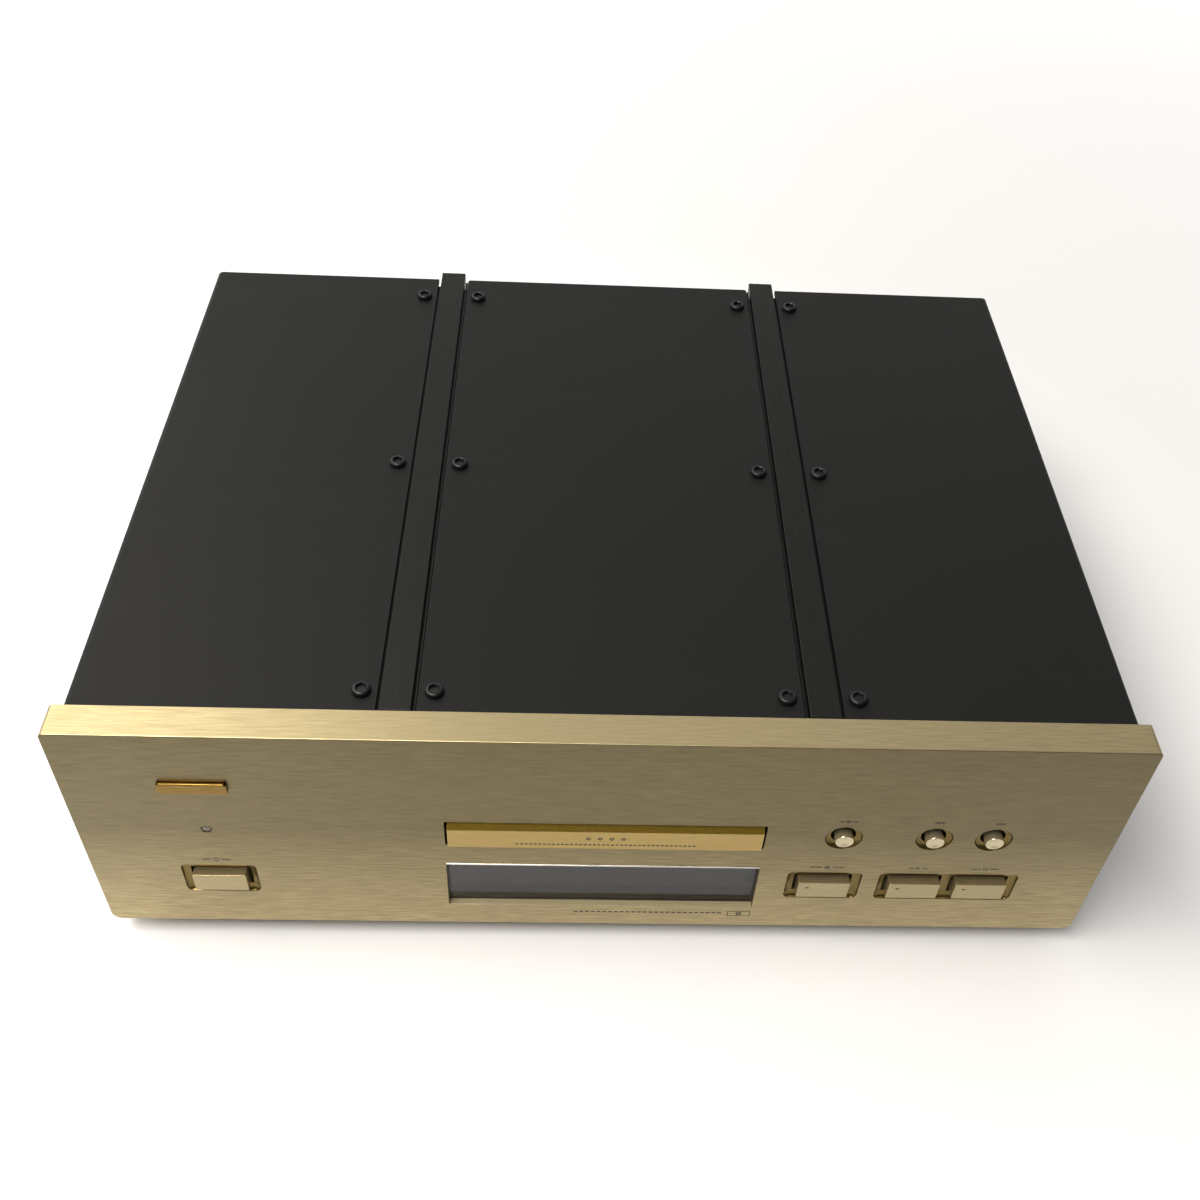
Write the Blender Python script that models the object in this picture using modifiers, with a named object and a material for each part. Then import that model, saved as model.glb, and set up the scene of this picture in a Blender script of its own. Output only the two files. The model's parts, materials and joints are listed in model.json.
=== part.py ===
"""A full-width component cd player, as an assembly of separate pieces.

Metres, +Z up. The player faces -Y and stands on Z = 0, centred on X and Y.
Places are given as across, back and up: across from the middle, back from the front
panel's face, and up from the front panel's lower edge.
"""

import math

import bmesh
import bpy
from mathutils import Matrix, Vector

# Driving dimensions
WIDTH = 0.445
PANEL_HEIGHT = 0.137
PANEL_DEPTH = 0.015
PANEL_TOP_CORNER = 0.0022
PANEL_LOW_CORNER = 0.0045
FOOT_HEIGHT = 0.012
COVER_END = 0.3228          # panel face to the covers' rear edge
REAR_PANEL = 0.317          # panel face to the rear panel's inner face
JACK_REACH = 0.330          # panel face to the tips of the output jacks
BUTTON_PROUD = 0.0025
DISC_RADIUS = 0.060
SPINDLE_BACK = 0.076        # panel face to the disc's axis when the tray is in
LIFT = 0.008                # rise of the traverse

GAP = 0.0003                # between pieces that touch
BITE = 0.001                # how far joined shapes overlap and cutters stand out
SHEET = 0.002               # covers, bottom and rear panel
BOARD = 0.0016              # circuit board thickness
SLOT_UP = (0.0643, 0.0812)
SLOT_HALF = 0.0687

DEPTH = BUTTON_PROUD + JACK_REACH
FRONT = BUTTON_PROUD - DEPTH / 2
BASE = FOOT_HEIGHT
INSIDE = PANEL_DEPTH + GAP
REAR_FACE = REAR_PANEL + SHEET
UNDERSIDE = 0.0005          # bottom plate and the covers' lower edges
FLOOR = UNDERSIDE + SHEET + GAP

# Cover and beam layout
COVER_HALF = 0.2176
COVER_BEND = 0.003
COVER_TOP = PANEL_HEIGHT - 0.0008
COVER_UNDER = COVER_TOP - SHEET
INNER_HALF = COVER_HALF - SHEET - GAP
BEAM_ACROSS = 0.087
BEAM_HALF = 0.0065
BEAM_FOOT = 0.118
BEAM_END = 0.3282
COVER_EDGE_INNER = 0.0786
COVER_EDGE_OUTER = 0.0949
SHELF = (0.065, 0.109)      # the beam's flange under the cover edges
SHELF_UP = (COVER_UNDER - GAP - 0.004, COVER_UNDER - GAP)
LIP = (0.0789, 0.0798)
LIP_TOP = 0.1360
LIP_END = 0.3245
SCREW_ACROSS = (0.0720, 0.1014)
SCREW_BACK = (0.0253, 0.1650, 0.3050)
SCREW_RADIUS = 0.002
SCREW_HEAD = 0.004
SCREW_HOLE = 0.0024
FOOT_ACROSS = 0.165
FOOT_BACK = {"front": 0.055, "rear": 0.275}
FOOT_RADIUS = 0.022

# Buttons: middle across and up
KEY_UP = 0.0353
KEYS = {"power": -0.1680, "open_close": 0.0989, "play": 0.1398, "pause": 0.1700}
KNOB_UP = 0.0734
KNOBS = {"stop": 0.1026, "previous": 0.1421, "next": 0.1682}
KEY_SIZE = (0.0232, 0.0117)
KEY_HOLE = (0.0246, 0.0130)
KNOB_RADIUS = 0.0041
KNOB_HOLE = 0.0055
DISH_RADIUS = 0.0081
POCKET_DEPTH = 0.002
POCKET_CORNER = 0.0025
POCKETS = {
    "power_pocket": (-0.1843, -0.1520),
    "open_close_pocket": (0.0823, 0.1158),
    "play_pause_pocket": (0.1237, 0.1866),
}
POCKET_UP = (0.0250, 0.0459)
WINDOW_HALF = 0.0691
WINDOW_UP = (0.0158, 0.0498)
WINDOW_LEDGE = 0.003
WINDOW_REBATE = 0.003       # how far the pane's seat is larger than the window
PANE = 0.0025
BOARD_FACE = 0.0220         # front face of the front circuit board
FLANGE_WIDTH = 0.0022       # what holds a rectangular button behind the panel
KNOB_FLANGE = 0.0068
FLANGE_BACK = (INSIDE + 0.0002, INSIDE + 0.0017)
STEM_HALF = 0.002
KNOB_STEM = 0.0025
STEM_END = FLANGE_BACK[1] + 0.0020
POWER_STEM_END = STEM_END - 0.0015
SWITCH_FACE = STEM_END + 0.0017
SWITCH_HALF = 0.0045

# Sockets on the rear panel
JACK_UP = 0.045
JACKS = {"output_jack_right": 0.120, "output_jack_left": 0.145}
JACK_HOLE = 0.0050
JACK_BODY = 0.0047
JACK_RING = 0.0068
JACK_BARREL = 0.0042
JACK_BORE = 0.0017
INLET_ACROSS = (-0.186, -0.158)
INLET_UP = (0.024, 0.048)
INLET_RIM = 0.0025
PIN_OFFSETS = ((-0.007, -0.002), (0.007, -0.002), (0.0, 0.002))

# Mechanism layout
TRAY_HALF = 0.0645
LID_HALF = 0.0676
LID_UP = (SLOT_UP[0] + 0.0006, SLOT_UP[1] - 0.0005)
LID_FACE = -0.0014
LID_SLOPE = 0.0033
TRAY_UP = (0.0675, 0.0760)
RACK_LOW = 0.0648
GEAR_UP = (0.0650, 0.0672)
TRAY_BACK = (0.0070, 0.2000)
WELL_FLOOR = 0.0730
TRAY_SLOT = 0.019
SIDE_INNER = 0.0700
SIDE_OUTER = 0.0730
DECK_UP = (0.0240, 0.0270)
TRAVERSE_UP = (0.0380, 0.0410)
BRIDGE_UP = (0.0840, 0.0870)
ROD_UP = 0.0470
ROD_ACROSS = 0.0270
DRIVE_GEAR = (0.0417, 0.0380)     # across, back
DRIVE_PITCH = 0.010
DRIVE_TEETH = 20
MOTOR_PULLEY = (0.0080, 0.0340)
PULLEY_UP = (0.0565, 0.0600)
BIG_PULLEY = 0.012
SMALL_PULLEY = 0.004
BELT_UP = (0.0576, 0.0588)
BELT = 0.0012
PIN_ACROSS = (-0.030, 0.018)
PIN_UP = 0.0395
PIN_RADIUS = 0.0013
CAM_TRAVEL = 2 * LIFT
ROD_RADIUS = 0.0020
ROD_BACK = (0.0800, 0.1540)
SLED_GEAR = (-0.0396, 0.1235)
SLED_PITCH = 0.006
SLED_TEETH = 12
TOOTH_DEEP = 0.0011         # below the pitch line
TOOTH_HIGH = 0.0008         # above it
TOOTH_ROOT = 0.0009         # half width of a tooth at its root
TOOTH_TIP = 0.0004          # and at its tip
PICKUP_BACK = SPINDLE_BACK + 0.0225


def clear_scene():
    """Remove what the file opens with."""
    for obj in list(bpy.data.objects):
        bpy.data.objects.remove(obj, do_unlink=True)


clear_scene()
PARTS = bpy.data.collections.new("cd_player")
CUTTERS = bpy.data.collections.new("cutters")
bpy.context.scene.collection.children.link(PARTS)
bpy.context.scene.collection.children.link(CUTTERS)


# ---------------------------------------------------------------- tools


def point(across, back, up):
    """World place of a point given across, back and up."""
    return Vector((across, FRONT + back, BASE + up))


def material(name, colour, roughness, metallic=0.0):
    """A Principled material, made once and shared."""
    found = bpy.data.materials.get(name)
    if found:
        return found
    made = bpy.data.materials.new(name)
    made.use_nodes = True
    shader = made.node_tree.nodes["Principled BSDF"]
    shader.inputs["Base Color"].default_value = (*colour, 1.0)
    shader.inputs["Roughness"].default_value = roughness
    shader.inputs["Metallic"].default_value = metallic
    return made


def champagne():
    return material("champagne_aluminium", (0.42, 0.34, 0.20), 0.38, 1.0)


def gold():
    return material("gold_aluminium", (0.50, 0.32, 0.12), 0.25, 1.0)


def black_sheet():
    return material("black_sheet_steel", (0.035, 0.035, 0.033), 0.45, 0.3)


def black_bar():
    return material("black_anodised", (0.030, 0.030, 0.027), 0.40, 0.6)


def black_steel():
    return material("blackened_steel", (0.015, 0.015, 0.015), 0.35, 0.8)


def zinc():
    return material("zinc_steel", (0.55, 0.55, 0.52), 0.40, 1.0)


def smoked_glass():
    return material("smoked_glass", (0.05, 0.05, 0.05), 0.05)


def black_plastic():
    return material("black_plastic", (0.02, 0.02, 0.02), 0.50)


def white_plastic():
    return material("white_plastic", (0.75, 0.75, 0.70), 0.50)


def board_green():
    return material("circuit_board", (0.02, 0.12, 0.05), 0.50)


def tape():
    return material("transformer_tape", (0.55, 0.35, 0.05), 0.50)


def rubber():
    return material("belt_rubber", (0.01, 0.01, 0.01), 0.80)


def gold_plate():
    return material("gold_plate", (0.80, 0.55, 0.20), 0.20, 1.0)


def around(middle, half):
    """Low and high at the same distance from a middle."""
    return (middle - half, middle + half)


def grow(pair, by):
    """A low and a high value, both moved outwards."""
    return (pair[0] - by, pair[1] + by)


def spread(side, near, far):
    """Low and high across, on the right for side 1 and on the left for side -1."""
    return tuple(sorted((side * near, side * far)))


def mesh_object(name, bm):
    """Turn a finished bmesh into an object among the parts."""
    mesh = bpy.data.meshes.new(name)
    bm.to_mesh(mesh)
    bm.free()
    obj = bpy.data.objects.new(name, mesh)
    PARTS.objects.link(obj)
    return obj


def block(name, across, back, up):
    """A box between two values each way."""
    low = point(across[0], back[0], up[0])
    high = point(across[1], back[1], up[1])
    bm = bmesh.new()
    bmesh.ops.create_cube(bm, size=1.0)
    bmesh.ops.scale(bm, vec=high - low, verts=bm.verts)
    bmesh.ops.translate(bm, vec=(low + high) / 2, verts=bm.verts)
    return mesh_object(name, bm)


def rod(name, start, end, radius, sides=16):
    """A round bar from one world point to another."""
    run = end - start
    bm = bmesh.new()
    bmesh.ops.create_cone(
        bm, cap_ends=True, segments=sides, radius1=radius, radius2=radius, depth=run.length
    )
    turn = run.to_track_quat("Z", "Y").to_matrix().to_4x4()
    bmesh.ops.transform(bm, matrix=Matrix.Translation((start + end) / 2) @ turn, verts=bm.verts)
    obj = mesh_object(name, bm)
    smooth(obj)
    return obj


def smooth(obj):
    """Smooth shading with the real edges kept sharp."""
    obj.data.shade_smooth()
    obj.data.set_sharp_from_angle(angle=math.radians(35))


def turned(name, centre, profile, steps=24, facing_front=False, ring=False):
    """A turned piece: (radius, height) points down the outside; a ring's section is closed."""
    bm = bmesh.new()
    verts = [bm.verts.new((radius, 0.0, height)) for radius, height in profile]
    for upper, lower in zip(verts, verts[1:]):
        bm.edges.new((upper, lower))
    if ring:
        bm.edges.new((verts[-1], verts[0]))
    obj = mesh_object(name, bm)
    obj.location = centre
    if facing_front:
        obj.rotation_euler = (math.pi / 2, 0.0, 0.0)
    screw = obj.modifiers.new("turn", "SCREW")
    screw.steps = steps
    screw.render_steps = steps
    screw.use_merge_vertices = True
    screw.merge_threshold = 0.00001
    screw.use_smooth_shade = True
    return obj


def arc(middle, radius, start, end, steps):
    """Points along an arc, angles in degrees."""
    turn = [math.radians(start + (end - start) * i / steps) for i in range(steps + 1)]
    return [(middle[0] + radius * math.cos(a), middle[1] + radius * math.sin(a)) for a in turn]


def circle(middle, radius, steps=24):
    """Points of a closed circle."""
    return arc(middle, radius, 0, 360, steps)[:-1]


def rounded(across, up, radius, steps=3, top_radius=None):
    """Outline of a rectangle with round corners."""
    top = radius if top_radius is None else top_radius
    corners = [
        (across[1] - top, up[1] - top, top, 0),
        (across[0] + top, up[1] - top, top, 90),
        (across[0] + radius, up[0] + radius, radius, 180),
        (across[1] - radius, up[0] + radius, radius, 270),
    ]
    outline = []
    for x, y, bend, start in corners:
        outline += arc((x, y), bend, start, start + 90, steps)
    return outline


def capsule(start, end, radius, steps=6):
    """Outline of a slot with round ends."""
    along = math.degrees(math.atan2(end[1] - start[1], end[0] - start[0]))
    near = arc(start, radius, along + 90, along + 270, steps)
    far = arc(end, radius, along - 90, along + 90, steps)
    return near + far


def extrude(name, outlines, low, high, facing_front):
    """A flat outline, with its holes, given thickness; facing the front or lying flat."""
    curve = bpy.data.curves.new(name, "CURVE")
    curve.dimensions = "2D"
    curve.fill_mode = "BOTH"
    curve.extrude = (high - low) / 2
    for outline in outlines:
        spline = curve.splines.new("POLY")
        spline.points.add(len(outline) - 1)
        for spot, (x, y) in zip(spline.points, outline):
            spot.co = (x, y, 0.0, 1.0)
        spline.use_cyclic_u = True
    flat = bpy.data.objects.new(name + "_outline", curve)
    PARTS.objects.link(flat)
    if facing_front:
        flat.location = (0.0, FRONT + (low + high) / 2, BASE)
        flat.rotation_euler = (math.pi / 2, 0.0, 0.0)
    else:
        flat.location = (0.0, FRONT, BASE + (low + high) / 2)
    bpy.context.view_layer.update()
    seen = flat.evaluated_get(bpy.context.evaluated_depsgraph_get())
    mesh = bpy.data.meshes.new_from_object(seen)
    bm = bmesh.new()
    bm.from_mesh(mesh)
    bmesh.ops.remove_doubles(bm, verts=bm.verts, dist=0.000005)
    bmesh.ops.transform(bm, matrix=flat.matrix_world, verts=bm.verts)
    bm.to_mesh(mesh)
    bm.free()
    bpy.data.objects.remove(flat, do_unlink=True)
    obj = bpy.data.objects.new(name, mesh)
    PARTS.objects.link(obj)
    smooth(obj)
    return obj


def boolean(target, other, operation):
    """Join or cut with a second object, which then only guides the target."""
    PARTS.objects.unlink(other)
    CUTTERS.objects.link(other)
    other.hide_render = True
    other.display_type = "WIRE"
    step = target.modifiers.new(operation.lower(), "BOOLEAN")
    step.operation = operation
    step.solver = "EXACT"
    step.object = other


def cut(target, *others):
    for other in others:
        boolean(target, other, "DIFFERENCE")


def join(target, *others):
    for other in others:
        boolean(target, other, "UNION")


def ease(obj, width, segments=1):
    """Break the sharp edges."""
    bevel = obj.modifiers.new("eased_edges", "BEVEL")
    bevel.width = width
    bevel.segments = segments
    bevel.limit_method = "ANGLE"
    bevel.angle_limit = math.radians(40)


def pivot(name, place, parent=None):
    """An empty on a joint's axis, which carries the pieces that move together."""
    empty = bpy.data.objects.new(name + "_axis", None)
    empty.location = place
    empty.empty_display_size = 0.01
    PARTS.objects.link(empty)
    if parent:
        carry(parent, empty)
    return empty


def carry(empty, *pieces):
    """Parent pieces to an axis without moving them."""
    bpy.context.view_layer.update()
    for piece in pieces:
        piece.parent = empty
        piece.matrix_parent_inverse = empty.matrix_world.inverted()


def finish(obj, surface):
    obj.data.materials.clear()
    obj.data.materials.append(surface)
    return obj


# ---------------------------------------------------------------- case


def front_panel():
    """Thick plate with the tray slot, the window and the button holes."""
    half = WIDTH / 2
    mouth_corner = 0.0008
    through = PANEL_DEPTH + BITE
    window_across = (-WINDOW_HALF, WINDOW_HALF)
    outlines = [
        rounded((-half, half), (0.0, PANEL_HEIGHT), PANEL_LOW_CORNER, 4, PANEL_TOP_CORNER),
        rounded((-SLOT_HALF, SLOT_HALF), SLOT_UP, mouth_corner, 1),
        rounded(window_across, WINDOW_UP, mouth_corner, 1),
    ]
    panel = extrude("front_panel", outlines, 0.0, PANEL_DEPTH, True)
    for name, across in POCKETS.items():
        pocket = rounded(across, POCKET_UP, POCKET_CORNER)
        cut(panel, extrude(name, [pocket], -BITE, POCKET_DEPTH, True))
    for name, across in KEYS.items():
        hole = rounded(around(across, KEY_HOLE[0] / 2), around(KEY_UP, KEY_HOLE[1] / 2), mouth_corner, 1)
        cut(panel, extrude(name + "_hole", [hole], POCKET_DEPTH - BITE, through, True))
    for name, across in KNOBS.items():
        profile = [
            (0.0, BITE), (DISH_RADIUS, BITE), (DISH_RADIUS, 0.0), (KNOB_HOLE, -POCKET_DEPTH),
            (KNOB_HOLE, -through), (0.0, -through),
        ]
        cut(panel, turned(name + "_hole", point(across, 0.0, KNOB_UP), profile, 16, True))
    rebate = (grow(window_across, WINDOW_REBATE), (WINDOW_LEDGE, through), grow(WINDOW_UP, WINDOW_REBATE))
    cut(panel, block("window_rebate", *rebate))
    return finish(panel, champagne())


def display_window():
    """Smoked glass, put in from behind against the panel's ledge."""
    seat = WINDOW_REBATE - 0.0005
    half = WINDOW_HALF + seat
    back = (WINDOW_LEDGE + GAP, WINDOW_LEDGE + GAP + PANE)
    pane = block("display_window", (-half, half), back, grow(WINDOW_UP, seat))
    return finish(pane, smoked_glass())


def bottom_plate():
    across = (-INNER_HALF, INNER_HALF)
    back = (INSIDE, REAR_PANEL - GAP)
    plate = block("bottom_plate", across, back, (UNDERSIDE, UNDERSIDE + SHEET))
    return finish(plate, black_sheet())


def rear_panel():
    """Plate with notches for the beams and holes for the sockets."""
    half = INNER_HALF
    top = COVER_UNDER - GAP
    low = FLOOR
    notch_low = BEAM_FOOT - GAP
    near = COVER_EDGE_INNER - 0.0002
    far = BEAM_ACROSS + BEAM_HALF + GAP
    edge = [
        (-half, low), (half, low), (half, top),
        (far, top), (far, notch_low), (near, notch_low), (near, top),
        (-near, top), (-near, notch_low), (-far, notch_low), (-far, top),
        (-half, top),
    ]
    holes = [circle((across, JACK_UP), JACK_HOLE, 16) for across in JACKS.values()]
    holes.append(rounded(grow(INLET_ACROSS, GAP), grow(INLET_UP, GAP), 0.0003, 1))
    panel = extrude("rear_panel", [edge, *holes], REAR_PANEL, REAR_FACE, True)
    return finish(panel, black_sheet())


def beam(side, name):
    """Bar that shows between two covers, with a flange and a thin lip under them."""
    bar = spread(side, BEAM_ACROSS - BEAM_HALF, BEAM_ACROSS + BEAM_HALF)
    obj = block("beam_" + name, bar, (INSIDE, BEAM_END), (BEAM_FOOT, PANEL_HEIGHT))
    flange = block("flange", spread(side, *SHELF), (INSIDE, REAR_PANEL - GAP), SHELF_UP)
    lip = block("lip", spread(side, *LIP), (INSIDE, LIP_END), (SHELF_UP[0] + BITE, LIP_TOP))
    join(obj, flange, lip)
    cut(obj, *screw_holes([side * across for across in SCREW_ACROSS]))
    return finish(obj, black_bar())


def screw_holes(across_list):
    """Cutters for the cover screws at these places across."""
    holes = []
    for across in across_list:
        for back in SCREW_BACK:
            low = point(across, back, COVER_UNDER - 0.008)
            high = point(across, back, COVER_TOP + BITE)
            holes.append(rod("screw_hole", low, high, SCREW_HOLE, 10))
    return holes


def side_cover(side, name):
    """Sheet that covers one side of the top and bends down over the side."""
    corner = (COVER_HALF - COVER_BEND, COVER_TOP - COVER_BEND)
    edge = [(COVER_EDGE_OUTER, COVER_UNDER), (COVER_EDGE_OUTER, COVER_TOP)]
    edge += arc(corner, COVER_BEND, 90, 0, 4)
    edge += [(COVER_HALF, UNDERSIDE), (COVER_HALF - SHEET, UNDERSIDE)]
    edge += arc(corner, COVER_BEND - SHEET, 0, 90, 3)
    edge = [(side * x, y) for x, y in edge]
    cover = extrude("top_cover_" + name, [edge], INSIDE, COVER_END, True)
    cut(cover, *screw_holes([side * SCREW_ACROSS[1]]))
    return finish(cover, black_sheet())


def center_cover():
    across = (-COVER_EDGE_INNER, COVER_EDGE_INNER)
    cover = block("top_cover_center", across, (INSIDE, COVER_END), (COVER_UNDER, COVER_TOP))
    cut(cover, *screw_holes([-SCREW_ACROSS[0], SCREW_ACROSS[0]]))
    return finish(cover, black_sheet())


def cover_screw(number, across, back):
    """Button-head screw with a hexagon socket."""
    seat = COVER_TOP + GAP
    shank = COVER_UNDER - GAP - 0.007
    profile = [
        (0.0, seat + 0.0022), (0.0022, seat + 0.0021), (0.0035, seat + 0.0014),
        (SCREW_HEAD, seat + 0.0004), (SCREW_HEAD, seat), (SCREW_RADIUS, seat),
        (SCREW_RADIUS, shank), (0.0, shank),
    ]
    screw = turned("cover_screw_%02d" % number, point(across, back, 0.0), profile, 12)
    low = point(across, back, seat + 0.0007)
    high = point(across, back, seat + 0.0030)
    cut(screw, rod("hexagon_socket", low, high, 0.0014, 6))
    return finish(screw, black_steel())


def foot(name, across, back):
    """Turned foot with a bevelled tread."""
    bevel = 0.002
    top = UNDERSIDE - GAP
    tread = -FOOT_HEIGHT
    profile = [
        (0.0, top), (FOOT_RADIUS, top), (FOOT_RADIUS, tread + bevel),
        (FOOT_RADIUS - bevel, tread), (0.0, tread),
    ]
    return finish(turned("foot_" + name, point(across, back, 0.0), profile), black_plastic())


def case():
    front_panel()
    display_window()
    bottom_plate()
    rear_panel()
    center_cover()
    for side, name in ((-1, "left"), (1, "right")):
        beam(side, name)
        side_cover(side, name)
        for end, back in FOOT_BACK.items():
            foot(end + "_" + name, side * FOOT_ACROSS, back)
    number = 0
    for back in SCREW_BACK:
        for across in (-SCREW_ACROSS[1], -SCREW_ACROSS[0], SCREW_ACROSS[0], SCREW_ACROSS[1]):
            number += 1
            cover_screw(number, across, back)


# ---------------------------------------------------------------- buttons and front board


def key(name, across):
    """Rectangular button: cap through the panel, flange behind it and a stem to its switch."""
    cap_across = around(across, KEY_SIZE[0] / 2)
    cap_up = around(KEY_UP, KEY_SIZE[1] / 2)
    cap = block(name + "_button", cap_across, (-BUTTON_PROUD, FLANGE_BACK[1]), cap_up)
    ease(cap, 0.0004)
    flange = block("flange", grow(cap_across, FLANGE_WIDTH), FLANGE_BACK, grow(cap_up, FLANGE_WIDTH))
    end = POWER_STEM_END if name == "power" else STEM_END
    stem_back = (FLANGE_BACK[0] + BITE / 2, end)
    stem = block("stem", around(across, STEM_HALF * 1.5), stem_back, around(KEY_UP, STEM_HALF))
    join(cap, flange, stem)
    carry(pivot(name + "_button", point(across, 0.0, KEY_UP)), cap)
    return finish(cap, champagne())


def knob(name, across):
    """Round button with a hollowed face."""
    front = 0.0020
    profile = [
        (0.0, front - 0.0005), (0.0022, front - 0.0003), (KNOB_RADIUS - 0.0004, front),
        (KNOB_RADIUS, front - 0.0004), (KNOB_RADIUS, -FLANGE_BACK[0]), (KNOB_FLANGE, -FLANGE_BACK[0]),
        (KNOB_FLANGE, -FLANGE_BACK[1]), (KNOB_STEM, -FLANGE_BACK[1]), (KNOB_STEM, -STEM_END),
        (0.0, -STEM_END),
    ]
    button = turned(name + "_button", point(across, 0.0, KNOB_UP), profile, 20, True)
    carry(pivot(name + "_button", point(across, 0.0, KNOB_UP)), button)
    return finish(button, champagne())


def front_circuit_board():
    """Board behind the panel with a switch behind each button."""
    half, low, step, ear = 0.190, 0.012, 0.056, 0.083
    ear_start = 0.090
    edge = [(-half, low), (half, low), (half, ear), (ear_start, ear), (ear_start, step), (-half, step)]
    board = extrude("front_circuit_board", [edge], BOARD_FACE, BOARD_FACE + BOARD, True)
    places = [(across, KEY_UP) for across in KEYS.values()]
    places += [(across, KNOB_UP) for across in KNOBS.values()]
    for across, up in places:
        switch_back = (SWITCH_FACE, BOARD_FACE + BOARD / 2)
        join(board, block("switch", around(across, SWITCH_HALF), switch_back, around(up, SWITCH_HALF)))
    return finish(board, board_green())


def display_module():
    """Flat display tube behind the window."""
    module = block("display_module", (-0.066, 0.066), (0.0085, BOARD_FACE - GAP), (0.0175, 0.0480))
    ease(module, 0.001)
    return finish(module, black_plastic())


# ---------------------------------------------------------------- power supply, boards and sockets


def power_transformer():
    """Toroidal transformer: a wound ring with rounded edges."""
    outer, inner, tall, round_off = 0.050, 0.012, 0.046, 0.008
    mid_outer, mid_inner = outer - round_off, inner + round_off
    section = arc((mid_outer, tall - round_off), round_off, 90, 0, 3)
    section += arc((mid_outer, round_off), round_off, 0, -90, 3)
    section += arc((mid_inner, round_off), round_off, 270, 180, 2)
    section += arc((mid_inner, tall - round_off), round_off, 180, 90, 2)
    ring = turned("power_transformer", point(-0.148, 0.215, FLOOR), section, ring=True)
    return finish(ring, tape())


def board_with(name, across, back, up, tall_parts):
    """A circuit board on four posts; its taller parts are (shape, x, y, half width, height)."""
    board = block(name, across, back, (up, up + BOARD))
    seat = up + BOARD / 2
    for x in grow(across, -0.006):
        for y in grow(back, -0.006):
            join(board, rod("post", point(x, y, FLOOR), point(x, y, seat), 0.003, 8))
    for shape, x, y, half, height in tall_parts:
        top = up + BOARD + height
        if shape == "chip":
            part = block(shape, around(x, half), around(y, half), (seat, top))
        else:
            part = rod(shape, point(x, y, seat), point(x, y, top), half)
        join(board, part)
    return finish(board, board_green())


def boards():
    """Power supply on the left with its capacitors, audio and control board on the right."""
    up = 0.010
    cans = [("can", x, y, 0.0125, 0.040) for x in (-0.185, -0.150) for y in (0.060, 0.095)]
    board_with("power_supply_board", (-0.205, -0.090), (0.035, 0.135), up, cans)
    parts = [
        ("chip", 0.130, 0.090, 0.014, 0.003),
        ("chip", 0.180, 0.140, 0.010, 0.003),
        ("chip", 0.130, 0.200, 0.008, 0.012),
    ]
    parts += [("can", x, 0.265, 0.005, 0.016) for x in (0.115, 0.145, 0.175)]
    board_with("main_circuit_board", (0.090, 0.205), (0.040, 0.300), up, parts)


def output_jack(name, across):
    """Gold-plated phono socket through the rear panel."""
    ring_low = REAR_FACE + GAP
    ring_high = ring_low + 0.0022
    inside = REAR_PANEL - 0.012
    bore_end = JACK_REACH - 0.008
    profile = [
        (0.0, -inside), (JACK_BODY, -inside), (JACK_BODY, -ring_low), (JACK_RING, -ring_low),
        (JACK_RING, -ring_high), (JACK_BARREL, -ring_high), (JACK_BARREL, -JACK_REACH),
        (JACK_BORE, -JACK_REACH), (JACK_BORE, -bore_end), (0.0, -bore_end),
    ]
    return finish(turned(name, point(across, 0.0, JACK_UP), profile, 16, True), gold_plate())


def mains_inlet():
    """Recessed three-pin appliance inlet."""
    inlet = block("mains_inlet", INLET_ACROSS, (REAR_PANEL - 0.018, REAR_FACE + BITE), INLET_UP)
    rim_back = (REAR_FACE + GAP, REAR_FACE + GAP + 0.002)
    join(inlet, block("rim", grow(INLET_ACROSS, INLET_RIM), rim_back, grow(INLET_UP, INLET_RIM)))
    cavity = (REAR_PANEL - 0.015, rim_back[1] + BITE)
    cut(inlet, block("cavity", grow(INLET_ACROSS, -0.002), cavity, grow(INLET_UP, -0.0035)))
    middle = sum(INLET_ACROSS) / 2
    centre_up = sum(INLET_UP) / 2
    pin_back = (cavity[0] - BITE, cavity[0] + 0.0115)
    for x, z in PIN_OFFSETS:
        join(inlet, block("pin", around(middle + x, 0.001), pin_back, around(centre_up + z, 0.002)))
    return finish(inlet, black_plastic())


# ---------------------------------------------------------------- loading mechanism


def gear_outline(middle, pitch_radius, teeth):
    """Gear with one tooth pointing to the right."""
    root, tip = pitch_radius - TOOTH_DEEP, pitch_radius + TOOTH_HIGH
    corners = ((root, TOOTH_ROOT), (tip, TOOTH_TIP), (tip, -TOOTH_TIP), (root, -TOOTH_ROOT))
    outline = []
    for tooth in range(teeth):
        at = 2 * math.pi * tooth / teeth
        for radius, half in corners:
            turn = at - half / radius
            outline.append((middle[0] + radius * math.cos(turn), middle[1] + radius * math.sin(turn)))
    return outline


def rack_outline(pitch_line, gear_back, ends, pitch, thickness):
    """Rack to the right of a gear, along the depth; a gap takes the gear's first tooth."""
    root, tip = pitch_line + TOOTH_DEEP, pitch_line - TOOTH_HIGH
    far = root + thickness
    outline = [(far, ends[1]), (far, ends[0]), (root, ends[0])]
    first = math.ceil((ends[0] + TOOTH_ROOT + GAP - gear_back) / pitch - 0.5)
    last = math.floor((ends[1] - TOOTH_ROOT - GAP - gear_back) / pitch - 0.5)
    for number in range(first, last + 1):
        middle = gear_back + (number + 0.5) * pitch
        outline += [(root, middle - TOOTH_ROOT), (tip, middle - TOOTH_TIP)]
        outline += [(tip, middle + TOOTH_TIP), (root, middle + TOOTH_ROOT)]
    outline.append((root, ends[1]))
    return outline


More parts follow.
